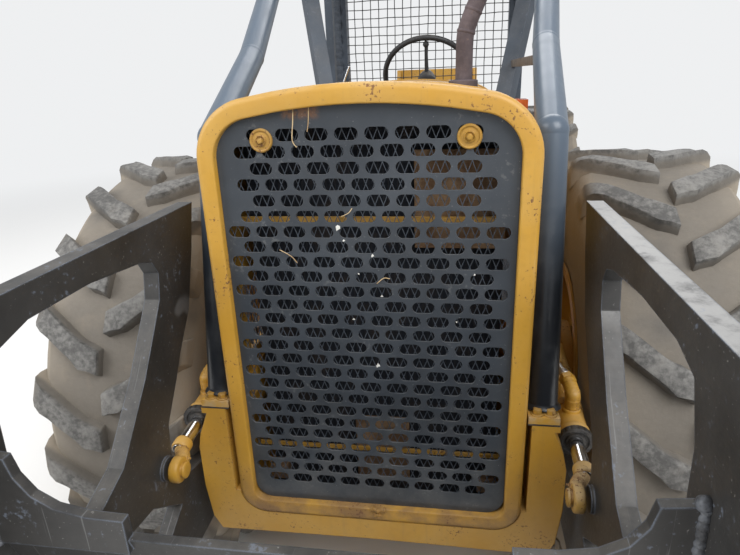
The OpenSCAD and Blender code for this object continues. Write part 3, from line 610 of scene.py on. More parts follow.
def tube(points, radius, sides=12, flat=1.0):
    """A round bar, hose or wire: its end face is extruded from point to point."""
    points = [Vector(p) for p in points]
    radii = radius if hasattr(radius, "__len__") else [radius] * len(points)
    bm = bmesh.new()
    side, before, face = None, None, None
    for i, point in enumerate(points):
        along = (points[min(i + 1, len(points) - 1)] - points[max(i - 1, 0)]).normalized()
        if side is None:
            side = along.orthogonal().normalized()
        side = (side - along * side.dot(along)).normalized()
        place = Matrix.Translation(point) @ Matrix((side, along.cross(side), along)).transposed().to_4x4()
        place = place @ Matrix.Diagonal((radii[i], radii[i] * flat, 1.0, 1.0))
        if face is None:
            bmesh.ops.create_circle(bm, cap_ends=True, segments=sides, radius=1.0, matrix=place)
            bm.faces.ensure_lookup_table()
            face = bm.faces[0]
        else:
            made = bmesh.ops.extrude_face_region(bm, geom=[face], use_keep_orig=i == 1)["geom"]
            face = next(g for g in made if isinstance(g, bmesh.types.BMFace))
            bmesh.ops.transform(bm, matrix=place @ before.inverted(), verts=face.verts[:])
        before = place
    return bm


def block(low, high, bevel=0.0, segments=2):
    """A box between two corners with its edges rounded."""
    bm = bmesh.new()
    bmesh.ops.create_cube(bm, size=1.0)
    low, high = Vector(low), Vector(high)
    bmesh.ops.scale(bm, vec=high - low, verts=bm.verts)
    bmesh.ops.translate(bm, vec=(low + high) / 2, verts=bm.verts)
    if bevel:
        round_off(bm, bm.edges[:], bevel, segments)
    return bm


def around(centre, x, radius, count, start=0.0):
    """Numbered places on a circle that lies across the machine, off a centre by x."""
    for i in range(count):
        angle = math.tau * (i + start) / count
        yield i, Vector((centre.x + x, centre.y + radius * math.cos(angle),
                         centre.z + radius * math.sin(angle)))


def chip(spot, wide, seed):
    """A thin flake with a ragged outline that lies on a face looking forward."""
    bm = bmesh.new()
    bmesh.ops.create_circle(bm, cap_ends=True, segments=7, radius=wide / 2,
                            matrix=Matrix.Rotation(math.pi / 2, 4, "X"))
    for i, v in enumerate(bm.verts):
        v.co *= 1.0 + 0.42 * math.sin(i * 2.4 + seed)
    bmesh.ops.solidify(bm, geom=bm.faces[:], thickness=0.0008)
    bmesh.ops.translate(bm, vec=spot, verts=bm.verts)
    return bm


def curve(points, steps=6):
    """Points of a smooth line through the given ones."""
    points = [Vector(p) for p in points]
    path = []
    for i in range(len(points) - 1):
        a, b = points[i], points[i + 1]
        before, after = points[max(i - 1, 0)], points[min(i + 2, len(points) - 1)]
        lead, tail = (b - before) / 2, (after - a) / 2
        for k in range(steps):
            t = k / steps
            path.append((2 * t ** 3 - 3 * t ** 2 + 1) * a + (t ** 3 - 2 * t ** 2 + t) * lead
                        + (3 * t ** 2 - 2 * t ** 3) * b + (t ** 3 - t ** 2) * tail)
    return path + [points[-1]]


def bead(points, radius, wobble=0.25, sides=8, ripple=0.0035):
    """A weld bead: a lumpy bar along a seam."""
    total = sum((Vector(b) - Vector(a)).length for a, b in zip(points, points[1:]))
    count = max(6, int(total / ripple))
    path, radii = [], []
    for i in range(count + 1):
        s = total * i / count
        for a, b in zip(points, points[1:]):
            step = (Vector(b) - Vector(a)).length
            if s <= step + 1e-9:
                path.append(Vector(a).lerp(Vector(b), s / step if step else 0.0))
                break
            s -= step
        radii.append(radius * (1.0 + wobble * math.sin(i * 1.9) + 0.5 * wobble * math.sin(i * 0.7 + 1.0)))
    return tube(path, radii[:len(path)], sides)


# Grille

# Half the width of the frame, the top of its crown and its foot
GRILLE_HALF = 0.360
GRILLE_TOP = 1.700
GRILLE_FOOT = 0.628
# The frame's border, the corners of its opening and how far the panel stands behind its front
BORDER = 0.041
INNER_CORNERS = (0.066, 0.046)
PANEL_Y = 0.018
FRAME_DEPTH = 0.052
SHEET = 0.004
CROWN_R = 1.3
# The slots: the radius of their ends and how far those stand from the middle, then their grid
SLOT_R = 0.013
SLOT_REACH = 0.012
SLOT_PITCH_X = 0.0627
SLOT_PITCH_Z = 0.0346
SLOT_LEFT = -0.285
SLOT_TOP = 1.600
SLOT_ROWS = 26
CUP_X = 0.215
CUP_Z = 1.590
# Straws on the panel: the points (x, y, z) and half the thickness of each
STRAWS = (
    ([(-0.141, 0.0160, 1.652), (-0.142, 0.0120, 1.628), (-0.147, 0.0145, 1.590),
      (-0.139, 0.0165, 1.575)], 0.0011),
    ([(-0.108, 0.0160, 1.655), (-0.110, 0.0130, 1.625), (-0.114, 0.0140, 1.606)], 0.0009),
    ([(-0.196, 0.0165, 1.352), (-0.170, 0.0140, 1.338), (-0.158, 0.0160, 1.322)], 0.0009),
    ([(0.020, 0.0165, 1.276), (0.036, 0.0140, 1.290), (0.049, 0.0160, 1.288)], 0.0010),
    ([(-0.052, 0.0165, 1.428), (-0.036, 0.0140, 1.436), (-0.028, 0.0160, 1.446)], 0.0009),
)
# Pale flakes on the panel: x, z and width of each
FLAKES = (
    (-0.062, 1.402, 0.011), (-0.050, 1.374, 0.005), (0.016, 1.071, 0.009), (-0.036, 1.188, 0.005),
    (0.012, 1.340, 0.006), (0.030, 1.246, 0.005), (0.196, 1.188, 0.004), (-0.020, 1.298, 0.004),
    (0.232, 1.300, 0.004),
)


def grille_outline(inset, top_corner, bottom_corner, steps=12):
    """Points (x, z) round the crowned grille, set in by a distance."""
    half = GRILLE_HALF - inset
    top, bottom = GRILLE_TOP - inset, GRILLE_FOOT + inset
    cx = half - top_corner
    cz = top - top_corner - cx * cx / (2 * CROWN_R) - 0.002
    right = [
        (half - bottom_corner + bottom_corner * math.sin(math.pi / 2 * i / steps),
         bottom + bottom_corner - bottom_corner * math.cos(math.pi / 2 * i / steps))
        for i in range(steps + 1)
    ]
    right += [
        (cx + top_corner * math.cos(math.radians(78) * i / steps),
         cz + top_corner * math.sin(math.radians(78) * i / steps))
        for i in range(steps + 1)
    ]
    right += [(cx * t, top - (cx * t) ** 2 / (2 * CROWN_R)) for t in (0.8, 0.6, 0.4, 0.2)]
    return right + [(0.0, top)] + [(-x, z) for x, z in reversed(right)]


def clip_to(bm, outline):
    """Cuts away what lies outside a convex outline in the x and z plane."""
    for (x0, z0), (x1, z1) in zip(outline, outline[1:] + outline[:1]):
        away = Vector((z1 - z0, 0.0, x0 - x1))
        if away.length < 1e-6:
            continue
        bmesh.ops.bisect_plane(
            bm, geom=bm.verts[:] + bm.edges[:] + bm.faces[:], dist=1e-7,
            plane_co=(x0, 0.0, z0), plane_no=away.normalized(), clear_outer=True)


def grille_frame_piece():
    """Pressed frame: a ring with a broad rounded outer edge and a small inner one."""
    bm = bmesh.new()
    outer = grille_outline(0.0, 0.130, 0.070)
    face = bm.faces.new([bm.verts.new((x, GRILLE_Y, z)) for x, z in outer])
    face.normal_update()
    bmesh.ops.inset_region(bm, faces=[face], thickness=BORDER, use_boundary=True,
                           use_even_offset=True)
    bmesh.ops.delete(bm, geom=[face], context="FACES")
    made = bmesh.ops.extrude_face_region(bm, geom=bm.faces[:], use_keep_orig=True)
    moved = [v for v in made["geom"] if isinstance(v, bmesh.types.BMVert)]
    bmesh.ops.translate(bm, vec=(0, FRAME_DEPTH, 0), verts=moved)
    bmesh.ops.recalc_face_normals(bm, faces=bm.faces)
    front = [e for e in bm.edges if all(abs(v.co.y - GRILLE_Y) < 1e-6 for v in e.verts)
             and len(e.link_faces) == 2 and any(abs(f.normal.y) < 0.5 for f in e.link_faces)]
    centre = Vector((0, 0, (GRILLE_TOP + GRILLE_FOOT) / 2))

    def is_outer(edge):
        mid = (edge.verts[0].co + edge.verts[1].co) / 2
        return any(f.normal.dot(mid - centre) > 0 and abs(f.normal.y) < 0.5 for f in edge.link_faces)

    outer_edges = [e for e in front if is_outer(e)]
    inner_edges = [e for e in front if not is_outer(e)]
    for edges, offset, segments in ((outer_edges, 0.013, 5), (inner_edges, 0.004, 3)):
        round_off(bm, [e for e in edges if e.is_valid], offset, segments)
    return bm


def has_slot(row, x):
    """True where the real panel has a slot: the rows are staggered and shorter near the top."""
    if not 0 <= row < SLOT_ROWS:
        return False
    return abs(x + 0.003) < (0.23 if row in (0, 2, 4) else 0.30)


def panel_cell(slotted):
    """One cell of the panel, with its slot or whole."""
    half_x, half_z = SLOT_PITCH_X / 2, SLOT_PITCH_Z / 2
    cell = bmesh.new()
    ring = [(-half_x, -half_z), (0, -half_z), (half_x, -half_z), (half_x, half_z),
            (0, half_z), (-half_x, half_z)]
    outer = [cell.verts.new((x, 0, z)) for x, z in ring]
    if not slotted:
        cell.faces.new(outer)
        return cell
    edges = [cell.edges.new((a, b)) for a, b in zip(outer, outer[1:] + outer[:1])]
    made = bmesh.ops.create_circle(
        cell, segments=16, radius=SLOT_R,
        matrix=Matrix.Rotation(math.pi / 2, 4, "X") @ Matrix.Rotation(math.pi / 16, 4, "Z"))
    for side in (-1, 1):
        bmesh.ops.translate(cell, vec=(side * SLOT_REACH, 0, 0),
                            verts=[v for v in made["verts"] if v.co.x * side > 0])
    inner = [e for e in cell.edges if e not in edges]
    bmesh.ops.bridge_loops(cell, edges=edges + inner)
    return cell


def panel_piece():
    """Perforated sheet: one cell for each slot, cut to the frame's inner outline."""
    cells = [to_mesh(panel_cell(slotted), "cell") for slotted in (False, True)]
    bm = bmesh.new()
    for row in range(-2, SLOT_ROWS + 2):
        for column in range(-2, 12):
            x = SLOT_LEFT + (row % 2) * SLOT_PITCH_X / 2 + column * SLOT_PITCH_X
            start = len(bm.verts)
            bm.from_mesh(cells[has_slot(row, x)])
            bm.verts.ensure_lookup_table()
            bmesh.ops.translate(bm, vec=(x, GRILLE_Y + PANEL_Y, SLOT_TOP - row * SLOT_PITCH_Z),
                                verts=bm.verts[start:])
    for mesh in cells:
        bpy.data.meshes.remove(mesh)
    bmesh.ops.remove_doubles(bm, verts=bm.verts, dist=1e-5)
    clip_to(bm, grille_outline(BORDER + 0.0005, *INNER_CORNERS))
    bmesh.ops.recalc_face_normals(bm, faces=bm.faces)
    if sum(f.normal.y for f in bm.faces) > 0:
        bmesh.ops.reverse_faces(bm, faces=bm.faces)
    bmesh.ops.solidify(bm, geom=bm.faces[:], thickness=SHEET)
    return bm


def diamonds(width, height, cell_w, cell_h, strand, thick):
    """Expanded metal in the x and z plane, centred on the origin."""
    bm = bmesh.new()
    reach = int(max(width / cell_w, height / cell_h)) + 3
    bmesh.ops.create_grid(bm, x_segments=2 * reach, y_segments=2 * reach, size=reach)
    root = math.sqrt(0.5)
    bmesh.ops.rotate(bm, cent=(0, 0, 0), matrix=Matrix.Rotation(math.pi / 4, 3, "Z"), verts=bm.verts)
    bmesh.ops.scale(bm, vec=(cell_w * root, cell_h * root, 1), verts=bm.verts)
    bmesh.ops.rotate(bm, cent=(0, 0, 0), matrix=Matrix.Rotation(math.pi / 2, 3, "X"), verts=bm.verts)
    far = [v for v in bm.verts if abs(v.co.x) > width / 2 + cell_w * 1.5
           or abs(v.co.z) > height / 2 + cell_h * 1.5]
    bmesh.ops.delete(bm, geom=far, context="VERTS")
    w, h = width / 2, height / 2
    clip_to(bm, [(-w, -h), (w, -h), (w, h), (-w, h)])
    slivers = [f for f in bm.faces if f.calc_area() < cell_w * cell_h * 0.1]
    bmesh.ops.delete(bm, geom=slivers, context="FACES")
    faces = bm.faces[:]
    bmesh.ops.inset_individual(bm, faces=faces, thickness=strand / 2, use_even_offset=True)
    bmesh.ops.delete(bm, geom=faces, context="FACES")
    bmesh.ops.solidify(bm, geom=bm.faces[:], thickness=thick)
    return bm


def side_diamonds(bm, centre, *sizes):
    """Adds expanded metal that stands along the machine's side."""
    mesh = diamonds(*sizes)
    bmesh.ops.rotate(mesh, cent=(0, 0, 0), matrix=Matrix.Rotation(math.pi / 2, 3, "Z"), verts=mesh.verts)
    bmesh.ops.translate(mesh, vec=centre, verts=mesh.verts)
    join(bm, mesh)


def cup_bolts_piece():
    """The panel's two cup washers and their bolts."""
    bm = bmesh.new()
    for x in (-CUP_X, CUP_X):
        face = at_row(PANEL_Y, x, CUP_Z)
        join(bm, lathe([(0.0, 0.0), (0.0250, 0.0), (0.0250, 0.0025), (0.0232, 0.0052),
                        (0.0205, 0.0050), (0.0185, 0.0022), (0.0120, 0.0030),
                        (0.0112, 0.0070), (0.0095, 0.0072), (0.0085, 0.0045),
                        (0.0, 0.0045)], face, (0, -1, 0), 40))
        join(bm, hexagon(face + Vector((0, -0.0045, 0)), (0, -1, 0), 0.0115, 0.0085, 0.3 + x))
    return bm


def brackets_piece():
    """Dusty sheets and corner blocks in front of the radiator's core."""
    bm = block(at_row(0.096, 0.098, 1.335), at_row(0.101, 0.298, 1.556), 0.002)
    join(bm, block(at_row(0.096, -0.060, 0.690), at_row(0.102, 0.080, 0.880), 0.003))
    join(bm, block(at_row(0.088, -0.300, 0.668), at_row(0.128, -0.255, 0.712), 0.004))
    join(bm, block(at_row(0.088, 0.255, 0.668), at_row(0.128, 0.300, 0.712), 0.004))
    return bm


# Lift cylinders

LIFT_X = 0.489
LIFT_EYE = (LIFT_X, -0.100, 0.832)
LIFT_ANCHOR = (LIFT_X, 0.560, 0.893)
# How far along a cylinder its gland nut and its port are
GLAND = 0.1965
PORT = 0.265


def on_lift(along, x=LIFT_X, up=0.0):
    """A point at a distance from the rod's eye along a lift cylinder, off its line by up."""
    reach = Vector((0, LIFT_ANCHOR[1] - LIFT_EYE[1], LIFT_ANCHOR[2] - LIFT_EYE[2])).normalized()
    rise = Vector((0, -reach.z, reach.y))
    return at_row(LIFT_EYE[1], 0, LIFT_EYE[2]) + reach * along + rise * up + Vector((x, 0, 0))


def lift_rod_piece():
    """Chrome rod with its turned end."""
    ahead = on_lift(1.0) - on_lift(0.0)
    return lathe([(0.0, 0.0), (0.0175, 0.0), (0.018, 0.0005), (0.018, 0.3595), (0.0175, 0.360),
                  (0.0, 0.360)], on_lift(0.062), ahead, 40)


def lift_eye_piece():
    """Forged eye: the collar on the rod, the neck that bends inward, the eye and its pin."""
    ahead = on_lift(1.0) - on_lift(0.0)
    bm = lathe([(0.0185, 0.0), (0.0215, 0.002), (0.0235, 0.006), (0.0235, 0.026), (0.0225, 0.030),
                (0.0185, 0.030), (0.0185, 0.0)], on_lift(0.064), ahead, 36)
    neck = curve([on_lift(0.080), on_lift(0.066, 0.485), on_lift(0.048, 0.472), on_lift(0.026, 0.4625),
                  on_lift(0.004, 0.462)], 5)
    count = len(neck) - 1
    join(bm, tube(neck, [0.0135 + 0.0035 * math.sin(math.pi * i / count) for i in range(count + 1)], 20))
    join(bm, lathe([(0.0, -0.012), (0.027, -0.012), (0.0305, -0.010), (0.032, -0.007),
                    (0.032, 0.007), (0.0305, 0.010), (0.027, 0.012), (0.0, 0.012)],
                   on_lift(0.0, 0.462), (1, 0, 0), 40))
    join(bm, lathe([(0.0, -0.0245), (0.0150, -0.0243), (0.0190, -0.0232), (0.0200, -0.021),
                    (0.0200, -0.0175), (0.0165, -0.016), (0.0165, -0.011), (0.0, -0.011)],
                   on_lift(0.0, 0.462), (1, 0, 0), 32))
    nipple = on_lift(0.030, 0.4495, 0.006)
    join(bm, lathe([(0.0, 0.0), (0.0042, 0.0), (0.0042, 0.003), (0.0025, 0.004), (0.0028, 0.0075),
                    (0.0018, 0.0085), (0.0, 0.0085)], nipple, (-1, 0, 0.3), 14))
    return bm


def gland_piece():
    """Slotted gland nut with its dished greasy face and wiper."""
    ahead = on_lift(0.0) - on_lift(1.0)
    foot = on_lift(GLAND)
    bm = lathe([(0.0376, 0.0), (0.0408, 0.001), (0.0412, 0.004), (0.0412, 0.0165), (0.0400, 0.0180),
                (0.0330, 0.0180), (0.0300, 0.0140), (0.0250, 0.0135), (0.0235, 0.0175),
                (0.0185, 0.0180), (0.0184, 0.0120), (0.0376, 0.0120)], foot, ahead, 64)
    return bm


def gland_teeth():
    """The nut's spanner teeth, standing out round its rim."""
    ahead = (on_lift(0.0) - on_lift(1.0)).normalized()
    side = Vector((1, 0, 0))
    rise = ahead.cross(side)
    bm = bmesh.new()
    for i in range(18):
        angle = math.tau * i / 18
        out = side * math.cos(angle) + rise * math.sin(angle)
        tooth = block((-0.0045, -0.0028, 0.0), (0.0045, 0.0028, 0.013), 0.0009)
        turn = Matrix((ahead.cross(out), out, ahead)).transposed().to_4x4()
        place = on_lift(GLAND) + ahead * 0.0035 + out * 0.0402
        bmesh.ops.transform(tooth, matrix=Matrix.Translation(place) @ turn, verts=tooth.verts)
        join(bm, tooth)
    return bm


def port_piece(along):
    """Elbow on the barrel with its collar and nut."""
    up = (on_lift(0.1, up=0.1) - on_lift(0.1)).normalized()
    foot = on_lift(along, up=0.030)
    bm = boss(0.0225, 0.009, 0.0205, 0.012, foot, up)
    elbow = curve([on_lift(along, up=0.036), on_lift(along, up=0.060), on_lift(along + 0.003, up=0.075),
                   on_lift(along + 0.016, LIFT_X - 0.002, 0.086),
                   on_lift(along + 0.040, LIFT_X - 0.005, 0.090)], 5)
    join(bm, tube(elbow, [0.0192] * 14 + [0.0180] * (len(elbow) - 14), 24))
    ahead = on_lift(along + 0.1, LIFT_X - 0.013, 0.092) - on_lift(along + 0.035, LIFT_X - 0.005, 0.090)
    join(bm, hexagon(elbow[-1], ahead, 0.036, 0.022, 0.3))
    return bm


def pipe_run(along):
    """Steel line from the elbow back along the barrel, held to it by a strap."""
    start = on_lift(along + 0.058, LIFT_X - 0.008, 0.091)
    path = curve([start, on_lift(along + 0.110, 0.473, 0.088), on_lift(along + 0.190, 0.467, 0.066),
                  on_lift(along + 0.290, 0.460, 0.050), on_lift(along + 0.370, 0.444, 0.052),
                  at_row(0.640, 0.437, 0.940)], 6)
    bm = tube(path, 0.0075, 12)
    join(bm, lathe([(0.0095, 0.0), (0.0135, 0.004), (0.0105, 0.024), (0.0078, 0.026)],
                   path[1], path[3] - path[1], 20))
    return bm


# Cab fittings

ARM_X = 0.268
WIRE_R = 0.0025
STACK_R = 0.029
# The steering wheel's hub (y, x, z), its tilt, and the radius and half thickness of its rim
HUB = (1.800, 0.035, 1.697)
HUB_TILT = 35
HUB_RIM = (0.2040, 0.0125)


def steering_wheel_piece():
    """Rim, three waisted spokes with their clamps, coned hub and column."""
    tilt = math.radians(HUB_TILT)
    n = Vector((0, math.cos(tilt), math.sin(tilt)))
    up = Vector((0, -math.sin(tilt), math.cos(tilt)))
    hub = at_row(*HUB)
    bm = hoop(*HUB_RIM, hub, n, 72, 14)
    for angle in (90, 210, 330):
        out = Vector((math.cos(math.radians(angle)), 0, 0)) + up * math.sin(math.radians(angle))
        bow = n * -0.012
        path = [hub + out * r + bow * b for r, b in
                ((0.024, 1.6), (0.060, 1.3), (0.100, 0.8), (0.140, 0.35), (0.170, 0.1), (0.196, 0.0))]
        join(bm, tube(curve(path, 3), [0.0130 - 0.0004 * i for i in range(16)], 10, 0.6))
        join(bm, lathe([(0.0, -0.008), (0.011, -0.007), (0.0145, 0.0), (0.0125, 0.010), (0.006, 0.016),
                        (0.0, 0.016)], hub + out * 0.168, out, 16))
    join(bm, lathe([(0.0, 0.018), (0.020, 0.0175), (0.028, 0.012), (0.033, 0.002), (0.042, -0.020),
                    (0.046, -0.052), (0.040, -0.060), (0.024, -0.064), (0.023, -0.200), (0.030, -0.202),
                    (0.030, -0.505), (0.0, -0.505)], hub, n, 32))
    return bm


def wires(x_half, z_low, z_high, y, pitch):
    """Welded wire screen with wires that have been bent in places."""
    bm = bmesh.new()

    def bent(a, b, seed):
        wave = math.sin(seed * 2.39) * 0.5 + math.sin(seed * 5.1) * 0.5
        hill = math.exp(-((b - 0.55 - 0.2 * math.sin(seed)) / 0.16) ** 2)
        return 0.0012 * math.sin(a * 31 + seed) + 0.011 * wave * wave * wave * hill

    count = int(x_half / pitch)
    steps = 16
    for i in range(-count, count + 1):
        x = i * pitch + 0.006
        path = []
        for k in range(steps + 1):
            t = k / steps
            z = z_low + (z_high - z_low) * t
            path.append(at_row(y, x + bent(z, t, i + 0.3), z))
        join(bm, tube(path, WIRE_R, 5))
    rows = int((z_high - z_low) / pitch)
    for j in range(rows + 1):
        z = z_low + 0.012 + j * pitch
        path = []
        for k in range(steps + 1):
            t = k / steps
            x = -x_half + 2 * x_half * t
            path.append(at_row(y + 0.004, x, min(z + bent(x, t, j * 1.7), z_high)))
        join(bm, tube(path, WIRE_R, 5))
    return bm


def exhaust_piece():
    """Stack with its clamp band, a welded bend and an open top."""
    path = curve([at_row(0.950, 0.206, 1.632), at_row(0.950, 0.207, 1.720), at_row(0.950, 0.208, 1.806),
                  at_row(0.951, 0.213, 1.843), at_row(0.952, 0.227, 1.884), at_row(0.955, 0.251, 1.940),
                  at_row(0.957, 0.271, 1.985), at_row(0.958, 0.288, 2.018)], 6)
    bm = tube(path, STACK_R, 28)
    cap = max(bm.faces, key=lambda f: f.calc_center_median().z)
    bmesh.ops.inset_region(bm, faces=[cap], thickness=0.003, use_even_offset=True)
    hole = bmesh.ops.extrude_face_region(bm, geom=[cap])["geom"]
    moved = [v for v in hole if isinstance(v, bmesh.types.BMVert)]
    bmesh.ops.translate(bm, vec=(path[-1] - path[-2]).normalized() * -0.07, verts=moved)
    if cap.is_valid:
        bmesh.ops.delete(bm, geom=[cap], context="FACES")
    for i, thick in ((17, 0.0312), (26, 0.0305)):
        ahead = path[i + 1] - path[i]
        join(bm, lathe([(0.0288, -0.006), (thick, -0.003), (thick + 0.0004, 0.0), (thick, 0.003),
                        (0.0288, 0.006)], path[i], ahead, 28))
    join(bm, lathe([(0.0288, 0.0), (0.050, 0.002), (0.050, 0.044), (0.047, 0.047), (0.0288, 0.049)],
                   at_row(0.950, 0.205, 1.637), (0, 0, 1), 32))
    return bm


def cushion(low, high, crown, puff=0.010):
    """A seat pad that is crowned in the middle and drawn in along its sewn edges."""
    bm = block(low, high, 0.018, 3)
    long = [e for e in bm.edges if e.calc_length() > 0.1]
    bmesh.ops.subdivide_edges(bm, edges=long, cuts=12, use_grid_fill=True)
    low, high = Vector(low), Vector(high)
    centre, half = (low + high) / 2, (high - low) / 2
    for v in bm.verts:
        s = [(v.co[i] - centre[i]) / half[i] for i in range(3)]
        a, b = [i for i in range(3) if i != crown]
        swell = (1 - s[a] ** 4) * (1 - s[b] ** 4)
        if s[crown] > 0:
            v.co[crown] += puff * swell - 0.006 * math.exp(-(s[a] * 6) ** 2) * (1 - s[b] ** 6)
        pull = 0.006 * (1 - abs(s[crown]))
        v.co[a] += -pull * s[a] * (1 - s[b] ** 2)
        v.co[b] += -pull * s[b] * (1 - s[a] ** 2)
    return bm


def dash_piece():
    """Dash with its gauges and knobs."""
    bm = block(at_row(1.399, -0.200, 1.470), at_row(1.412, 0.200, 1.625), 0.005)
    for x, r in ((-0.130, 0.040), (-0.030, 0.030), (0.060, 0.030), (0.145, 0.030)):
        join(bm, lathe([(r + 0.004, 0.0), (r + 0.004, 0.006), (r, 0.009), (r - 0.003, 0.006),
                        (r - 0.004, 0.002), (0.0, 0.002)], at_row(1.411, x, 1.560), (0, 1, 0.15), 32))
    for x in (-0.06, 0.0, 0.06):
        join(bm, lathe([(0.009, 0.0), (0.009, 0.004), (0.005, 0.005), (0.004, 0.020), (0.006, 0.023),
                        (0.0, 0.024)], at_row(1.411, x, 1.500), (0, 1, 0), 16))
    return bm


def pedals_piece():
    """Three pedals with ribbed plates."""
    bm = bmesh.new()
    for x in (-0.150, 0.110, 0.220):
        stem = [at_row(1.405, x, 1.120), at_row(1.460, x, 1.105), at_row(1.520, x, 1.062)]
        join(bm, tube(curve(stem, 4), 0.010, 10))
        join(bm, block(at_row(1.505, x - 0.045, 1.058), at_row(1.590, x + 0.045, 1.070), 0.004))
        for k in range(5):
            join(bm, block(at_row(1.515 + k * 0.016, x - 0.040, 1.069),
                           at_row(1.521 + k * 0.016, x + 0.040, 1.073), 0.001, 1))
    return bm


def levers_piece():
    """Three hand levers with their knobs and boots."""
    bm = bmesh.new()
    for i, y in enumerate((1.900, 1.960, 2.020)):
        top = at_row(y - 0.030, 0.385, 1.520 + 0.012 * i)
        stem = [at_row(y, 0.395, 1.359), at_row(y - 0.006, 0.392, 1.430), top]
        join(bm, tube(curve(stem, 4), 0.006, 10))
        join(bm, lathe([(0.0, -0.006), (0.010, -0.004), (0.018, 0.008), (0.019, 0.020),
                        (0.012, 0.032), (0.0, 0.035)], top, (-0.1, -0.3, 1), 20))
        join(bm, lathe([(0.022, 0.0), (0.020, 0.012), (0.010, 0.020), (0.006, 0.022), (0.0, 0.022)],
                       at_row(y, 0.395, 1.359), (0, 0, 1), 20))
    return bm


# Tyres

LUGS = 20
# The wall and tread from the bead out: distance from the rim's seat or the lug tips, half width
WALL = [(0.0003, 0.2010), (0.0170, 0.2015), (0.0370, 0.2065), (0.0500, 0.2120), (0.0650, 0.2140),
        (0.0950, 0.2175), (0.1450, 0.2225), (0.1850, 0.2250), (0.2250, 0.2248)]
TREAD = [(0.130, 0.223), (0.100, 0.217), (0.075, 0.208), (0.056, 0.192), (0.042, 0.172),
         (0.038, 0.120), (0.036, 0.060), (0.036, 0.0)]
# Stations along a bar: distance from the middle, top and foot below the tips
BAR = [(0.006, 0.0030, 0.050), (0.030, 0.0, 0.050), (0.056, 0.0, 0.050), (0.082, 0.0, 0.050),
       (0.108, 0.0, 0.050), (0.134, 0.0005, 0.050), (0.158, 0.0020, 0.054),
       (0.180, 0.0055, 0.062), (0.200, 0.0140, 0.075), (0.215, 0.0300, 0.090),
       (0.2235, 0.0660, 0.108)]


def tyre_bar():
    """One bar of the tread at the top of a tyre: thick, leaning back and dropping at the shoulder."""
    bar = bmesh.new()
    bmesh.ops.create_cube(bar, size=1.0)
    long = [e for e in bar.edges if abs(e.verts[0].co.x - e.verts[1].co.x) > 0.5]
    bmesh.ops.subdivide_edges(bar, edges=long, cuts=9, use_grid_fill=True)
    for v in bar.verts:
        t = (v.co.x + 0.5) * 10
        k = min(9, int(t + 1e-6))
        a, b = BAR[k], BAR[k + 1]
        x, top, foot = (a[i] * (1 - t + k) + b[i] * (t - k) for i in range(3))
        lean = 0.80 * (x - 0.118) + 5.4 * max(0.0, 0.07 - x) ** 2
        wide = 0.0245 + 0.018 * x if v.co.z > 0 else 0.036
        radius = TYRE_R - (top if v.co.z > 0 else foot)
        angle = (-lean + (-1.28 if v.co.y > 0 else 1.28) * wide) / TYRE_R
        v.co = Vector((x, -radius * math.sin(angle), radius * math.cos(angle)))
    sharp = [e for e in bar.edges if e.calc_face_angle(0.0) > 0.5
             and max(v.co.yz.length for v in e.verts) > TYRE_R - 0.07]
    round_off(bar, sharp, 0.0045, clamp=True)
    return bar


def tyre_piece(centre_x, centre_y):
    """One tyre: a turned carcass and two rows of bars that lean back from the middle."""
    half = [(RIM_R + d, x) for d, x in WALL] + [(TYRE_R - d, x) for d, x in TREAD]
    profile = half + [(r, -x) for r, x in reversed(half[:-1])]
    bm = bmesh.new()
    verts = [bm.verts.new((x, 0.0, r)) for r, x in profile]
    for a, b in zip(verts, verts[1:] + verts[:1]):
        bm.edges.new((a, b))
    spin(bm, (1, 0, 0), 96)
    mesh = to_mesh(tyre_bar(), "bar")
    for side in (1, -1):
        for i in range(LUGS):
            start = len(bm.verts)
            bm.from_mesh(mesh)
            bm.verts.ensure_lookup_table()
            new = bm.verts[start:]
            turn = Matrix.Rotation((i + (0.5 if side < 0 else 0.0)) * math.tau / LUGS, 4, "X")
            bmesh.ops.transform(bm, matrix=turn @ Matrix.Diagonal((side, 1, 1, 1)), verts=new)
            if side < 0:
                bmesh.ops.reverse_faces(bm, faces=list({f for v in new for f in v.link_faces}))
    bpy.data.meshes.remove(mesh)
    bmesh.ops.translate(bm, vec=(centre_x, centre_y, AXLE_Z), verts=bm.verts)
    return bm


# Studio

# The camera as fitted to the photo: y, x and z, then yaw, pitch and roll, then the focal length
# as a share of the picture's width
CAMERA_PLACE = (-1.150, 0.194, 1.711)
CAMERA_TURN = (9.2, 19.6, -2.12)
CAMERA_FOCAL = 568.0 / 740.0
# The light of the sky, and the lamps: name, place, width and power
SKY_COLOUR = (0.93, 0.96, 1.0)
SKY_STRENGTH = 0.62
LAMPS = (
    ("key", (3.5, -6.0, 6.5), 5.0, 520.0),
    ("fill", (-5.5, -4.5, 5.0), 5.0, 300.0),
    ("back", (0.5, 6.0, 6.5), 6.0, 380.0),
)
LAMP_AIM = (0.0, 0.0, 0.9)
# How far from the origin the floor starts and ends to fade into the backdrop
FADE = (4.5, 11.0)


def studio_floor(tone):
    """A broad floor that fades into the backdrop where the camera sees it."""
    bm = bmesh.new()
    bmesh.ops.create_grid(bm, x_segments=1, y_segments=1, size=60.0)
    floor = add("floor", to_mesh(bm, "floor"))
    p = Paint("studio_floor")
    colour = p.mix(p.noise(0.6, 2.0) * 0.15, tone, tuple(c * 0.95 for c in tone))
    x, y, _ = p.xyz()
    far = (x * x + y * y).root().step(*FADE)
    seen = p.node("ShaderNodeLightPath", {}, {}, "Is Camera Ray")
    ground = p.node("ShaderNodeBsdfPrincipled", {}, {"Base Color": colour, "Roughness": 0.9})
    haze = p.node("ShaderNodeEmission", {}, {"Color": BACKDROP, "Strength": 1.0})
    surface = p.node("ShaderNodeMixShader", {}, [far * seen, ground, haze])
    p.node("ShaderNodeOutputMaterial", {}, {"Surface": surface})
    floor.data.materials.append(p.owner)


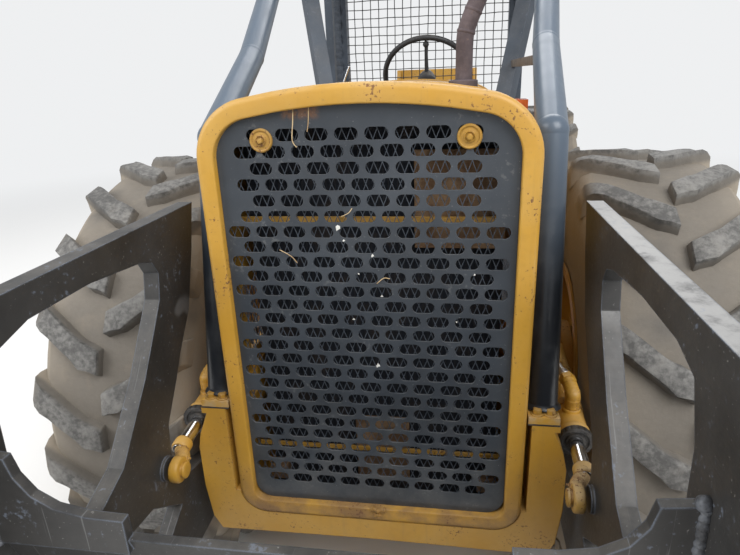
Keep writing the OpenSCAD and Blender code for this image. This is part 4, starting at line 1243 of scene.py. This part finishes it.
def studio_sky():
    """A world that lights from all round and shows the backdrop to the camera."""
    sky = Paint("studio", "worlds")
    camera_ray = sky.node("ShaderNodeLightPath", {}, {}, "Is Camera Ray")
    glass_ray = sky.node("ShaderNodeLightPath", {}, {}, "Is Transmission Ray")
    light = sky.node("ShaderNodeBackground", {}, {"Color": SKY_COLOUR, "Strength": SKY_STRENGTH})
    backdrop = sky.node("ShaderNodeBackground", {}, {"Color": BACKDROP, "Strength": 1.0})
    surface = sky.node("ShaderNodeMixShader", {}, [camera_ray.most(glass_ray), light, backdrop])
    sky.node("ShaderNodeOutputWorld", {}, {"Surface": surface})
    return sky.owner


def studio_lamps():
    """Square lamps that point at the machine."""
    for name, place, size, power in LAMPS:
        data = bpy.data.lights.new(name, "AREA")
        data.size = size
        data.energy = power
        lamp = add(name, data)
        lamp.location = place
        lamp.rotation_mode = "QUATERNION"
        lamp.rotation_quaternion = (Vector(LAMP_AIM) - Vector(place)).to_track_quat("-Z", "Y")


def photo_camera():
    """The camera that took the photo."""
    yaw, pitch, roll = (math.radians(v) for v in CAMERA_TURN)
    ahead = Vector((-math.sin(yaw) * math.cos(pitch), math.cos(yaw) * math.cos(pitch), -math.sin(pitch)))
    level = Vector((math.cos(yaw), math.sin(yaw), 0.0))
    upright = level.cross(ahead)
    right = math.cos(roll) * level + math.sin(roll) * upright
    up = math.cos(roll) * upright - math.sin(roll) * level
    data = bpy.data.cameras.new("camera")
    data.sensor_width = 36.0
    data.lens = data.sensor_width * CAMERA_FOCAL
    data.clip_start = 0.05
    camera = add("camera", data)
    turn = Matrix((right, up, -ahead)).transposed().to_4x4()
    camera.matrix_world = Matrix.Translation(at_row(*CAMERA_PLACE)) @ turn
    return camera


# The pieces, one operator each


class SkidderSettings(bpy.types.PropertyGroup):
    """Sizes and colours that a user would change."""

    yellow: bpy.props.FloatVectorProperty(
        name="Yellow", description="Machine yellow before dust and wear", subtype="COLOR",
        default=(0.56, 0.30, 0.036), min=0.0, max=1.0)
    black: bpy.props.FloatVectorProperty(
        name="Black", description="Blade black before dust and wear", subtype="COLOR",
        default=(0.026, 0.025, 0.024), min=0.0, max=1.0)
    floor: bpy.props.FloatVectorProperty(
        name="Floor", description="Colour of the studio floor", subtype="COLOR",
        default=(0.80, 0.79, 0.77), min=0.0, max=1.0)
    mesh_pitch: bpy.props.FloatProperty(
        name="Screen pitch", description="Spacing of the rear screen's wires", subtype="DISTANCE",
        unit="LENGTH", default=0.0461, min=0.03, max=0.08)


class SKIDDER_OT_paint_frame(bpy.types.Operator):
    """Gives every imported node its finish"""

    bl_idname = "skidder.paint_frame"
    bl_label = "Paint the packed nodes"

    def execute(self, context):
        make_materials(context.scene.skidder)
        slots = {s["node"]: s["material_slot"] for s in frame["record"]["subparts"]}
        for name, node in frame["nodes"].items():
            finish = NODE_FINISH.get(name, SLOT_FINISH[slots[name]])
            node.data.materials.clear()
            node.data.materials.append(MATERIALS[finish])
        return {"FINISHED"}


class SKIDDER_OT_grille(bpy.types.Operator):
    """Makes the pressed grille frame, the slotted panel, its cup washers and what shows behind it"""

    bl_idname = "skidder.grille"
    bl_label = "Grille"

    def execute(self, context):
        surround = keep(grille_frame_piece(), "grille_surround", "yellow_clean", "front", 40)
        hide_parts("grille_frame")
        panel = keep(panel_piece(), "slotted_panel", "panel", "front", outward=False)
        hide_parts("grille_panel")
        guard = diamonds(0.64, 1.02, 0.0185, 0.046, 0.0017, 0.0012)
        bmesh.ops.translate(guard, vec=(0, GRILLE_Y + 0.036, 1.172), verts=guard.verts)
        clip_to(guard, grille_outline(BORDER + 0.001, *INNER_CORNERS))
        keep(guard, "diamond_guard", "guard", "front")
        keep(cup_bolts_piece(), "grille_bolts", "rusty_yellow", "front", 35)
        bars = bmesh.new()
        for z, tall in ((1.408, 0.007), (0.800, 0.006)):
            join(bars, block(at_row(0.068, -0.315, z - tall), at_row(0.074, 0.315, z + tall), 0.001))
        keep(bars, "guard_bars", "yellow", "front")
        keep(brackets_piece(), "core_brackets", "brown", "front")
        return {"FINISHED"}


class SKIDDER_OT_grille_dirt(bpy.types.Operator):
    """Puts the straw, the paint flakes and the weld lump on the grille"""

    bl_idname = "skidder.grille_dirt"
    bl_label = "Straw and flakes"

    def execute(self, context):
        straw = bmesh.new()
        for points, thick in STRAWS:
            join(straw, tube(curve([at_row(y, x, z) for x, y, z in points], 4), thick, 6))
        keep(straw, "straw", "straw", "front", 40)
        flakes = bmesh.new()
        for x, z, wide in FLAKES:
            join(flakes, chip(at_row(PANEL_Y - 0.0002, x, z), wide, x * 90))
        keep(flakes, "paint_flakes", "flake", "front")
        lump = bead([at_row(0.004, -0.012, 0.668), at_row(0.001, 0.004, 0.664), at_row(0.002, 0.026, 0.667)],
                    0.0065, 0.35, 8, 0.004)
        join(lump, bead([at_row(-0.001, -0.006, 0.651), at_row(-0.001, 0.016, 0.650)], 0.0045, 0.4, 8, 0.004))
        keep(lump, "surround_weld", "yellow_clean", "front", 50)
        return {"FINISHED"}


class SKIDDER_OT_tyres(bpy.types.Operator):
    """Makes the four lugged tyres"""

    bl_idname = "skidder.tyres"
    bl_label = "Tyres"

    def execute(self, context):
        for name in WHEELS:
            centre = middle("tyre_" + name)
            tyre = keep(tyre_piece(centre.x, centre.y), "lugged_tyre_" + name, "tyre",
                        "wheel_" + name, 38, outward=False)
            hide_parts("tyre_" + name)
        return {"FINISHED"}


class SKIDDER_OT_wheels(bpy.types.Operator):
    """Puts the nuts, the hub's plug and the valve on each wheel"""

    bl_idname = "skidder.wheels"
    bl_label = "Wheel nuts"

    def execute(self, context):
        for name in WHEELS:
            centre = middle("tyre_" + name)
            out = 1.0 if centre.x > 0 else -1.0
            ahead = Vector((out, 0, 0))
            bm = bmesh.new()
            for i, spot in around(centre, -0.052 * out, 0.155, 10, 0.5):
                join(bm, bolt(spot, ahead, 0.030, 0.4 * i))
                join(bm, boss(0.0095, 0.030, 0.0080, 0.032, spot, ahead, 14))
            for i, spot in around(centre, -0.036 * out, 0.082, 8):
                join(bm, hexagon(spot, ahead, 0.016, 0.009, 0.7 * i))
            join(bm, boss(0.036, 0.010, 0.032, 0.014, centre - ahead * 0.036, ahead, 36))
            join(bm, hexagon(centre - ahead * 0.022, ahead, 0.024, 0.012, 0.2))
            bends = ((-0.070, 0.262), (-0.030, 0.272), (0.030, 0.268))
            valve = [centre + Vector((x * out, 0, z)) for x, z in bends]
            join(bm, tube(curve(valve, 4), 0.0045, 8))
            keep(bm, "wheel_fittings_" + name, "rusty_yellow", "wheel_" + name, 35)
        return {"FINISHED"}


class SKIDDER_OT_lift(bpy.types.Operator):
    """Makes the rods, forged eyes, gland nuts and pipes of the blade's lift cylinders"""

    bl_idname = "skidder.lift"
    bl_label = "Lift cylinders"

    def execute(self, context):
        for side, flip in (("left", False), ("right", True)):
            eye = "eye_rusty" if side == "left" else "eye_yellow"
            parts = (
                (lift_rod_piece, "lift_chrome_", "chrome", "lift_rod_", "chrome_rod"),
                (lift_eye_piece, "lift_eye_", eye, "lift_rod_", "chrome_rod"),
                (gland_piece, "gland_nut_", "grease", "lift_barrel_", "black_box_paint"),
                (gland_teeth, "gland_teeth_", "grease", "lift_barrel_", "black_box_paint"),
                (lambda: port_piece(PORT), "lift_port_", "yellow_clean", "lift_barrel_", "yellow_paint"),
            )
            for make, name, finish, body, slot in parts:
                bm = bmesh.new()
                join(bm, make(), flip)
                made = keep(bm, name + side, finish, body + side, 40)
                if name == "lift_chrome_":
                    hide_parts("lift_rod_" + side)
        return {"FINISHED"}


class SKIDDER_OT_lift_pipes(bpy.types.Operator):
    """Runs the steel lines of the lift cylinders and their straps"""

    bl_idname = "skidder.lift_pipes"
    bl_label = "Lift lines"

    def execute(self, context):
        for side, flip in (("left", False), ("right", True)):
            bm = bmesh.new()
            join(bm, pipe_run(PORT), flip)
            keep(bm, "lift_line_" + side, "steel", "lift_barrel_" + side, 40)
            bm = bmesh.new()
            for along in (0.300, 0.470):
                ahead = on_lift(1.0) - on_lift(0.0)
                up = on_lift(along, up=1.0) - on_lift(along)
                join(bm, lathe([(0.0365, -0.012), (0.0385, -0.012), (0.0385, 0.012), (0.0365, 0.012),
                                (0.0365, -0.012)], on_lift(along), ahead, 40), flip)
                join(bm, bolt(on_lift(along, up=0.0385), up, 0.013, along), flip)
            keep(bm, "lift_straps_" + side, "rusty_yellow", "lift_barrel_" + side, 40)
        return {"FINISHED"}


class SKIDDER_OT_risers(bpy.types.Operator):
    """Bolts the limb risers down and ties the left one to the cab's post"""

    bl_idname = "skidder.risers"
    bl_label = "Limb riser fittings"

    def execute(self, context):
        bolts, seams, braces, welds = (bmesh.new() for _ in range(4))
        for flip in (False, True):
            for x, y in ((0.384, 0.026), (0.414, 0.026), (0.384, 0.110), (0.416, 0.110)):
                join(bolts, bolt(at_row(y, x, 0.958), (0, 0, 1), 0.019, 8 * x + y), flip)
            join(seams, block(at_row(0.0055, 0.3625, 0.9385), at_row(0.1285, 0.4345, 0.9415), 0.0), flip)
            join(welds, lathe([(0.0, 0.0), (0.0445, 0.0), (0.0435, 0.004), (0.0400, 0.008), (0.0370, 0.011),
                               (0.0, 0.011)], at_row(0.0645, 0.399, 0.9575), (0, 0.2, 1), 40), flip)
        join(braces, block(at_row(0.566, 0.404, 1.722), at_row(1.455, 0.416, 1.750), 0.002))
        keep(bolts, "riser_bolts", "rusty_yellow", "front", 35)
        keep(seams, "riser_gaskets", "grease", "front")
        keep(welds, "riser_welds", "riser", "front", 40)
        keep(braces, "riser_brace", "dusty_bar", "front", 40)
        return {"FINISHED"}


class SKIDDER_OT_blade_welds(bpy.types.Operator):
    """Lays the weld beads along the blade's ears and scratches the ears"""

    bl_idname = "skidder.blade_welds"
    bl_label = "Blade welds"

    def execute(self, context):
        bm = bmesh.new()
        for flip in (False, True):
            join(bm, bead([at_row(EAR_Y + 0.002, 0.4885, 1.058), at_row(EAR_Y - 0.001, 0.4885, 1.140),
                           at_row(EAR_Y + 0.003, 0.4880, 1.219)], 0.0080, 0.13, 12, 0.0036), flip)
            join(bm, lathe([(0.0, -0.010), (0.007, -0.008), (0.0115, 0.0), (0.009, 0.007), (0.0, 0.010)],
                           at_row(EAR_Y + 0.004, 0.486, 1.224), (0.3, -1, 0.2), 14), flip)
            outer = [at_row(EAR_Y + 0.002, 0.5335, 1.058), at_row(EAR_Y + 0.002, 0.5335, 1.219)]
            join(bm, bead(outer, 0.008, 0.22, 8, 0.0045), flip)
        scores = bmesh.new()
        for k in range(13):
            cx, cz = (0.4515, 1.201) if k % 2 else (0.4680, 1.204)
            spot = at_row(EAR_Y + 0.0002, cx + 0.0055 * math.sin(k * 2.7), cz + 0.006 * math.cos(k * 1.9))
            join(scores, chip(spot, 0.0040 + 0.0018 * math.sin(k * 4.1), k))
        keep(scores, "ear_scratches", "flake", "blade_assembly")
        keep(bm, "blade_weld_beads", "weld", "blade_assembly", 60)
        return {"FINISHED"}


class SKIDDER_OT_cab(bpy.types.Operator):
    """Makes the screens, the steering wheel, the exhaust, the dash, the pedals and the levers"""

    bl_idname = "skidder.cab"
    bl_label = "Cab fittings"

    def execute(self, context):
        low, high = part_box("rear_screen")
        screen = wires((high.x - low.x) / 2 - 0.001, low.z, high.z - 0.002, low.y - GRILLE_Y + 0.004,
                       context.scene.skidder.mesh_pitch)
        made = keep(screen, "wire_screen", "wire", "front", 40)
        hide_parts("rear_screen")

        low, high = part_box("cab_mesh")
        both = bmesh.new()
        for side in (1, -1):
            centre = (side * (high.x - 0.002), (low.y + high.y) / 2, (low.z + high.z) / 2)
            side_diamonds(both, centre, high.y - low.y, high.z - low.z, 0.030, 0.075, 0.0052, 0.0022)
        made = keep(both, "expanded_metal", "cab", "front")
        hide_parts("cab_mesh")

        made = keep(steering_wheel_piece(), "steering_wheel_rim", "vinyl", "front", 40)
        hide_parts("steering_wheel")
        made = keep(exhaust_piece(), "exhaust_stack", "pipe", "front", 40)
        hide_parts("exhaust")

        keep(dash_piece(), "dash", "vinyl", "front", 35)
        keep(pedals_piece(), "pedals", "box", "front", 40)
        keep(levers_piece(), "hand_levers", "vinyl", "front", 40)

        bends = [at_row(1.345, -0.297, 1.648), at_row(1.345, -0.290, 1.690), at_row(1.340, -0.264, 1.748)]
        rod = tube(bends, 0.0045, 10)
        keep(rod, "bright_rod", "bright", "front", 40)
        return {"FINISHED"}


class SKIDDER_OT_seat(bpy.types.Operator):
    """Upholsters the seat"""

    bl_idname = "skidder.seat"
    bl_label = "Seat"

    def execute(self, context):
        base = cushion(at_row(1.845, -0.232, 1.334), at_row(2.225, 0.232, 1.418), 2)
        pad = keep(base, "seat_cushion", "vinyl_seat", "front", 50)
        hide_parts("seat")
        back = cushion(at_row(2.232, -0.222, 1.425), at_row(2.312, 0.222, SEAT_TOP - 0.004), 1, -0.010)
        pad = keep(back, "seat_back", "vinyl_seat", "front", 50)
        metal = block(at_row(1.902, -0.158, 1.003), at_row(2.198, 0.158, 1.330), 0.006)
        for side in (1, -1):
            arm = side * ARM_X
            bends = [at_row(2.285, side * 0.245, 1.440), at_row(2.285, arm, 1.500),
                     at_row(2.230, arm, 1.506), at_row(1.960, arm, 1.500)]
            join(metal, tube(curve(bends, 5), 0.012, 12))
        keep(metal, "seat_stand", "box", "front", 40)
        arms = bmesh.new()
        for side in (1, -1):
            arm = side * ARM_X
            join(arms, block(at_row(1.905, arm - 0.030, 1.495), at_row(2.235, arm + 0.030, 1.528), 0.012, 3))
        pad = keep(arms, "arm_rests", "vinyl_seat", "front", 50)
        return {"FINISHED"}


class SKIDDER_OT_hood(bpy.types.Operator):
    """Adds the hood's straps, catches and hinges and the side screens' mesh"""

    bl_idname = "skidder.hood"
    bl_label = "Hood fittings"

    def execute(self, context):
        trims = bmesh.new()
        crown = grille_outline(0.0125, 0.122, 0.060)
        top = [(x, z) for x, z in crown if z > 1.30]
        for y in (0.075, 0.640, 1.215):
            path = [at_row(y, x, z) for x, z in top]
            join(trims, tube(path, 0.0035, 8))
        for side in (1, -1):
            for y in (0.22, 0.95):
                join(trims, block(at_row(y, side * 0.349 - 0.006, 1.215),
                                  at_row(y + 0.030, side * 0.349 + 0.006, 1.300), 0.003))
                join(trims, lathe([(0.0, -0.022), (0.007, -0.022), (0.007, 0.022), (0.0, 0.022)],
                                  at_row(y + 0.015, side * 0.357, 1.258), (0, 1, 0), 14))
            for k in range(6):
                join(trims, bolt(at_row(0.100 + k * 0.215, side * 0.346, 1.010), (side, 0, 0), 0.014, k))
        keep(trims, "hood_fittings", "yellow", "front", 40)
        guards = bmesh.new()
        for side in (1, -1):
            for y0, y1 in ((0.138, 0.622), (0.678, 1.182)):
                side_diamonds(guards, at_row((y0 + y1) / 2, side * 0.3385, 1.1225),
                              y1 - y0, 0.187, 0.024, 0.052, 0.0030, 0.0015)
        keep(guards, "side_guards", "guard", "front")
        return {"FINISHED"}


# The rope on the drum: how many wraps, their pitch, and the radii of a wrap and of the rope
WRAPS = 15
WRAP_PITCH = 0.0195
WRAP_R = 0.1190
ROPE_R = 0.0095


class SKIDDER_OT_rear(bpy.types.Operator):
    """Winds the rope on the winch and bolts the winch and the arch"""

    bl_idname = "skidder.rear"
    bl_label = "Winch and arch fittings"

    def execute(self, context):
        centre = middle("winch_drum")
        wraps = bmesh.new()
        for i in range(WRAPS):
            spot = Vector(((i - (WRAPS - 1) / 2) * WRAP_PITCH, centre.y, centre.z))
            join(wraps, hoop(WRAP_R, ROPE_R, spot, (1, 0.012, 0), 48, 10))
        keep(wraps, "rope_wraps", "rope", "winch_drum", 50)
        bolts = bmesh.new()
        for side in (1, -1):
            for i, spot in around(centre, side * 0.316, 0.104, 12):
                join(bolts, bolt(spot, (side, 0, 0), 0.017, i * 0.5))
            join(bolts, boss(0.045, 0.010, 0.040, 0.014,
                             Vector((side * 0.316, centre.y, centre.z)), (side, 0, 0)))
            for y in (3.00, 3.13, 3.26):
                join(bolts, bolt(at_row(y, side * 0.270, 0.960), (0, 0, 1), 0.022, y))
        keep(bolts, "winch_bolts", "rusty_yellow", "rear", 35)
        return {"FINISHED"}


class SKIDDER_OT_stage(bpy.types.Operator):
    """Adds the floor, the lamps and the camera"""

    bl_idname = "skidder.stage"
    bl_label = "Studio and camera"

    def execute(self, context):
        scene = context.scene
        studio_floor(tuple(scene.skidder.floor))
        scene.world = studio_sky()
        studio_lamps()
        scene.camera = photo_camera()
        scene.view_settings.view_transform = "Standard"
        return {"FINISHED"}


class SKIDDER_PT_panel(bpy.types.Panel):
    """Lists the steps that dress the skidder"""

    bl_label = "Skidder"
    bl_space_type = "VIEW_3D"
    bl_region_type = "UI"
    bl_category = "Skidder"

    def draw(self, context):
        column = self.layout.column()
        for key in ("yellow", "black", "floor", "mesh_pitch"):
            column.prop(context.scene.skidder, key)
        for step in STEPS:
            column.operator(step.bl_idname)


STEPS = (
    SKIDDER_OT_paint_frame,
    SKIDDER_OT_grille,
    SKIDDER_OT_grille_dirt,
    SKIDDER_OT_tyres,
    SKIDDER_OT_wheels,
    SKIDDER_OT_lift,
    SKIDDER_OT_lift_pipes,
    SKIDDER_OT_risers,
    SKIDDER_OT_blade_welds,
    SKIDDER_OT_cab,
    SKIDDER_OT_seat,
    SKIDDER_OT_hood,
    SKIDDER_OT_rear,
    SKIDDER_OT_stage,
)
CLASSES = (SkidderSettings, *STEPS, SKIDDER_PT_panel)


def register():
    for cls in CLASSES:
        bpy.utils.register_class(cls)
    bpy.types.Scene.skidder = bpy.props.PointerProperty(type=SkidderSettings)


def unregister():
    del bpy.types.Scene.skidder
    for cls in reversed(CLASSES):
        bpy.utils.unregister_class(cls)


def main():
    register()
    for step in STEPS:
        group, name = step.bl_idname.split(".")
        getattr(getattr(bpy.ops, group), name)()


if __name__ == "__main__":
    main()
